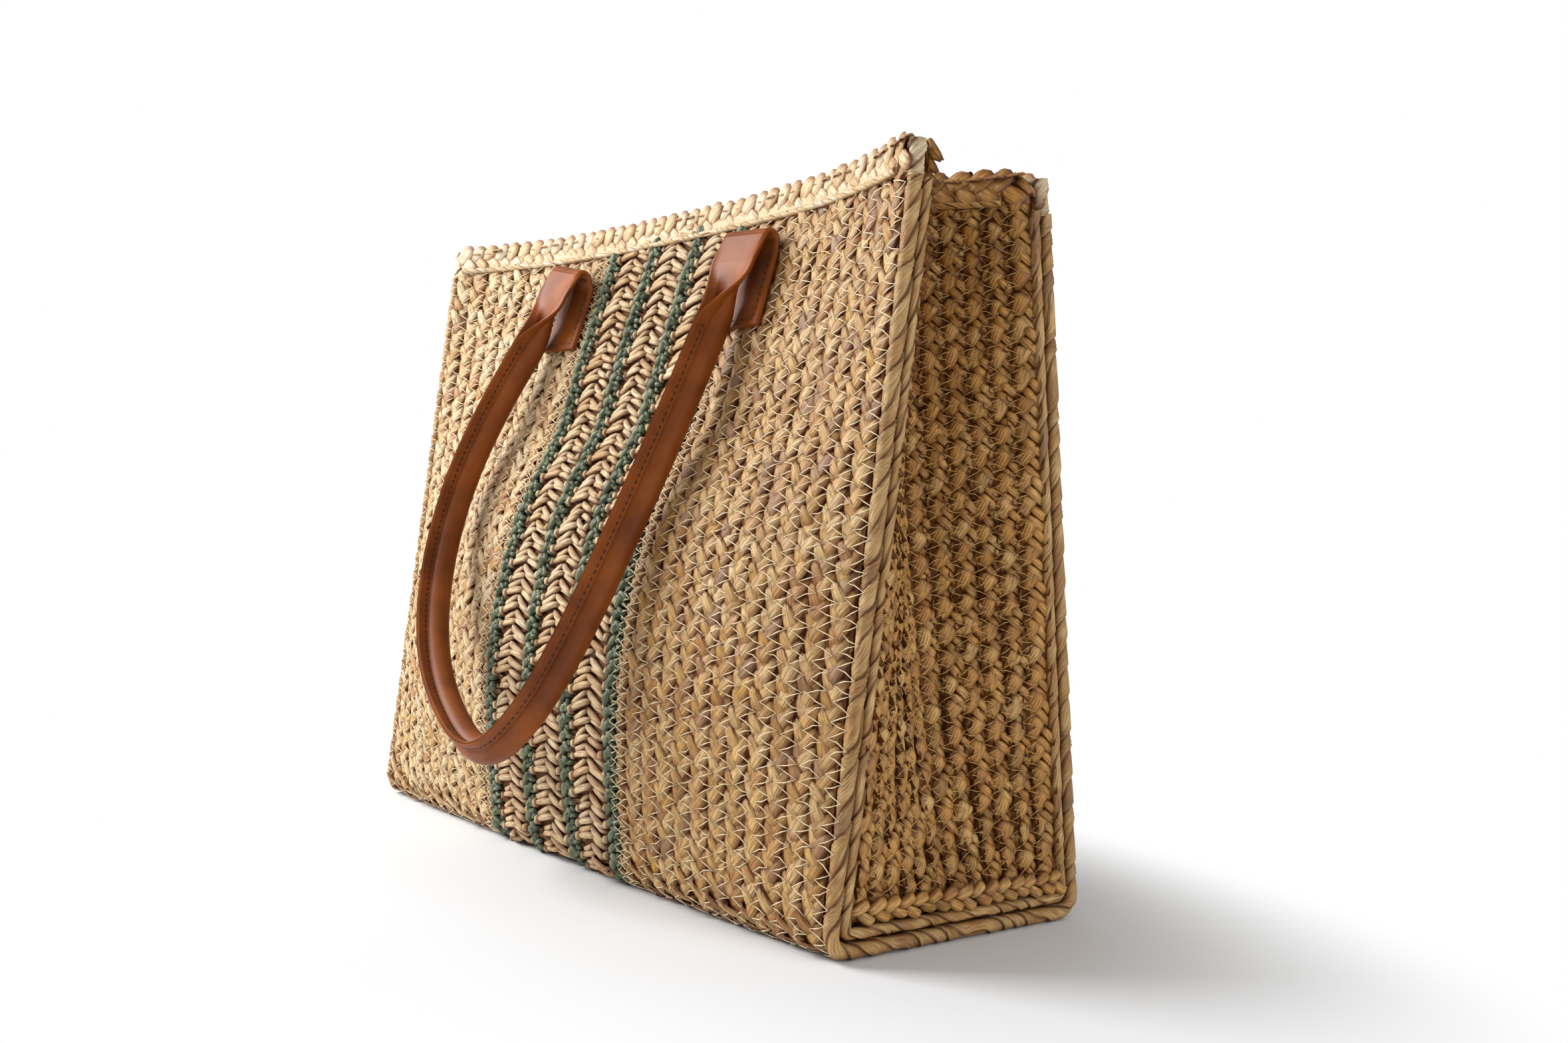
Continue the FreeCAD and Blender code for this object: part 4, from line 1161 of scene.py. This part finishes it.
for name, face in WALLS:
    loops, drops, centre, beside = handle_loops(face)
    hinge, _, outwards = hang(face)
    body = f"{name}_handle"
    tube = drops > FOLD_DROP
    cover = piece_from(f"{name}_rolled_handle", *lofted(loops[tube]), leather, body,
                       "tan_leather")
    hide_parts(f"{name}_handle_cover")
    seam = drops > SEAM_DROP
    grow(f"{name}_handle_seam",
         [(centre[seam] + way * 1.32 * beside[seam] + 8.3 * outwards, way * beside[seam])
          for way in (-1, 1)], stitch_rows, {**STITCH_SIZES, "Seed": 101}, body)
    for end, x, order in (("left", -ATTACHMENT_X, 1), ("right", ATTACHMENT_X, -1)):
        strap = loops[::order][:np.argmax(tube) + 1][::-1]
        sideways = beside[::order][0]
        chain = np.concatenate([strap, tab_loops(face, x, sideways)])
        tab = piece_from(f"{name}_{end}_fold", *lofted(chain), leather, None, "tan_leather")
        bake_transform(tab)
        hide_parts(f"{name}_{end}_tab")
        grow(f"{name}_{end}_tab_seam", [tab_seam(face, x)], stitch_rows,
             {**STITCH_SIZES, "Seed": 103}, "bag")


# A patch of the same leather lies inside the wall behind each tab. The tab's stitches go through
# the straw into it, so that it takes the pull of the handle.
BACKING_HALF = 14.5


def patch_grid(face, x, inset):
    """Points of a patch on the inside of the wall, in rows that climb, bulging in its middle."""
    across = np.linspace(-1, 1, 9)
    rows = []
    for height in np.linspace(TAB_LOW + 3.5, HINGE_Z, 13):
        edge = np.minimum(1 - np.abs(across), 0.2) / 0.2
        end = min(height - TAB_LOW - 3.5, HINGE_Z - height, 3) / 3
        depth = wall_depth(face, x + BACKING_HALF * across, height) - inset
        depth = depth - 0.4 * np.sqrt(edge * end) * (inset > STRAW_THICKNESS + 1)
        rows.append(np.column_stack([x + BACKING_HALF * across, face["side"] * depth,
                                     np.full(len(across), height)]))
    return np.stack(rows)


for name, face in WALLS:
    for end, x in (("left", -ATTACHMENT_X), ("right", ATTACHMENT_X)):
        inner, outer = (patch_grid(face, x, inset)[:, ::face["side"]] for inset in (6.5, 5.4))
        backing = piece_from(f"{name}_{end}_patch", *closed_sheet(inner, outer), leather, "bag",
                             "tan_leather")
        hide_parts(f"{name}_{end}_tab_backing")


# The cord inside each handle: soft cotton filler that the leather is rolled round. It shows only
# down the open ends of the roll.
filler = fibrous("cotton filler cord", [(0.0, "#C9BDA6"), (1.0, "#DDD2BD")], "#8C8069", 0.9, 0.8,
                 0.3)
for name in ("front", "back"):
    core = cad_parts[f"{name}_handle_core"]
    for place in core.material_slots:
        place.material = filler


# The floor that the bag stands on is white paper. It keeps the bag's shadow nearby, and further
# off it shines as white as the surround, so that no horizon shows.
def stage_surface():
    """White paper near the bag, which turns into plain white further off."""
    material, tree, surface = new_material("white paper sweep")
    surface.inputs["Base Color"].default_value = linear("#EEF1F5")
    surface.inputs["Roughness"].default_value = 0.8
    place = add(tree, "ShaderNodeTexCoord")
    squeezed = add(tree, "ShaderNodeMapping",
                   {"Vector": place.outputs["Object"], "Scale": (1 / 0.26, 1 / 0.15, 0.0)})
    reach = add(tree, "ShaderNodeVectorMath", {0: squeezed.outputs["Vector"]}, operation="LENGTH")
    fade = add(tree, "ShaderNodeMapRange", {"Value": reach.outputs["Value"], "From Min": 0.95,
                                            "From Max": 1.9}, interpolation_type="SMOOTHSTEP")
    view = add(tree, "ShaderNodeLightPath")
    seen = add(tree, "ShaderNodeMath", {0: view.outputs["Is Camera Ray"],
                                        1: view.outputs["Is Glossy Ray"]}, operation="MAXIMUM")
    share = add(tree, "ShaderNodeMath", {0: seen, 1: fade}, operation="MULTIPLY")
    white = add(tree, "ShaderNodeEmission", {"Color": (1.0, 1.0, 1.0, 1.0)})
    both = add(tree, "ShaderNodeMixShader", {0: share, 1: surface, 2: white})
    tree.links.new(both.outputs[0], tree.nodes["Material Output"].inputs["Surface"])
    return material


floor_mesh = bpy.data.meshes.new("floor")
floor_mesh.from_pydata([(-6, -6, 0), (6, -6, 0), (6, 6, 0), (-6, 6, 0)], [], [(0, 1, 2, 3)])
floor_mesh.materials.append(stage_surface())
floor = in_scene("floor", floor_mesh)


# The light: a soft panel high on the left, which rakes across the front wall, a weak one that
# opens the shade of the right gusset, and an even pale surround, which looks white but lights the
# bag more weakly.
def panel(name, place, target, size, power):
    """A square lamp at a place, turned towards a target."""
    lamp = bpy.data.lights.new(name, "AREA")
    lamp.shape = "SQUARE"
    lamp.size = size
    lamp.energy = power
    holder = in_scene(name, lamp)
    holder.location = place
    holder.rotation_euler = (Vector(target) - Vector(place)).to_track_quat("-Z", "Y").to_euler()


panel("key panel", (-0.8, -0.85, 0.8), (-0.05, 0, 0.17), 0.8, 24)
panel("fill panel", (1.7, 0.35, 0.6), (0.2, 0, 0.17), 1.2, 9)
world = bpy.data.worlds.new("surround")
world.use_nodes = True
sky = world.node_tree
dim = sky.nodes["Background"]
dim.inputs["Color"].default_value = linear("#FFFBF5")
dim.inputs["Strength"].default_value = 0.42
bright = add(sky, "ShaderNodeBackground", {"Color": (1.0, 1.0, 1.0, 1.0)})
view = add(sky, "ShaderNodeLightPath")
seen = add(sky, "ShaderNodeMath", {0: view.outputs["Is Camera Ray"],
                                   1: view.outputs["Is Transmission Ray"]}, operation="MAXIMUM")
mixed = add(sky, "ShaderNodeMixShader", {0: seen, 1: dim, 2: bright})
sky.links.new(mixed.outputs[0], sky.nodes["World Output"].inputs["Surface"])
bpy.context.scene.world = world
bpy.context.scene.view_settings.view_transform = "Standard"

# The camera stands low, off the bag's front right corner, less than a metre away, and is rolled
# slightly. Its place and lens are those at which the bag's edges lie as they were seen.
CAMERA_PLACE = Vector((0.6473, -0.4903, 0.1732))
CAMERA_YAW = -0.8673
CAMERA_PITCH = 0.0191
CAMERA_ROLL = 0.0601
FOCAL_LENGTH = 32.44
ahead = Vector((math.sin(CAMERA_YAW) * math.cos(CAMERA_PITCH),
                math.cos(CAMERA_YAW) * math.cos(CAMERA_PITCH), math.sin(CAMERA_PITCH)))
level = ahead.cross(Vector((0, 0, 1))).normalized()
above = level.cross(ahead)
right = math.cos(CAMERA_ROLL) * level + math.sin(CAMERA_ROLL) * above
up = math.cos(CAMERA_ROLL) * above - math.sin(CAMERA_ROLL) * level
lens = bpy.data.cameras.new("camera")
lens.sensor_width = 36.0
lens.lens = FOCAL_LENGTH
camera = in_scene("camera", lens)
facing = Matrix((right, up, -ahead)).transposed().to_4x4()
camera.matrix_world = Matrix.Translation(CAMERA_PLACE) @ facing
bpy.context.scene.camera = camera
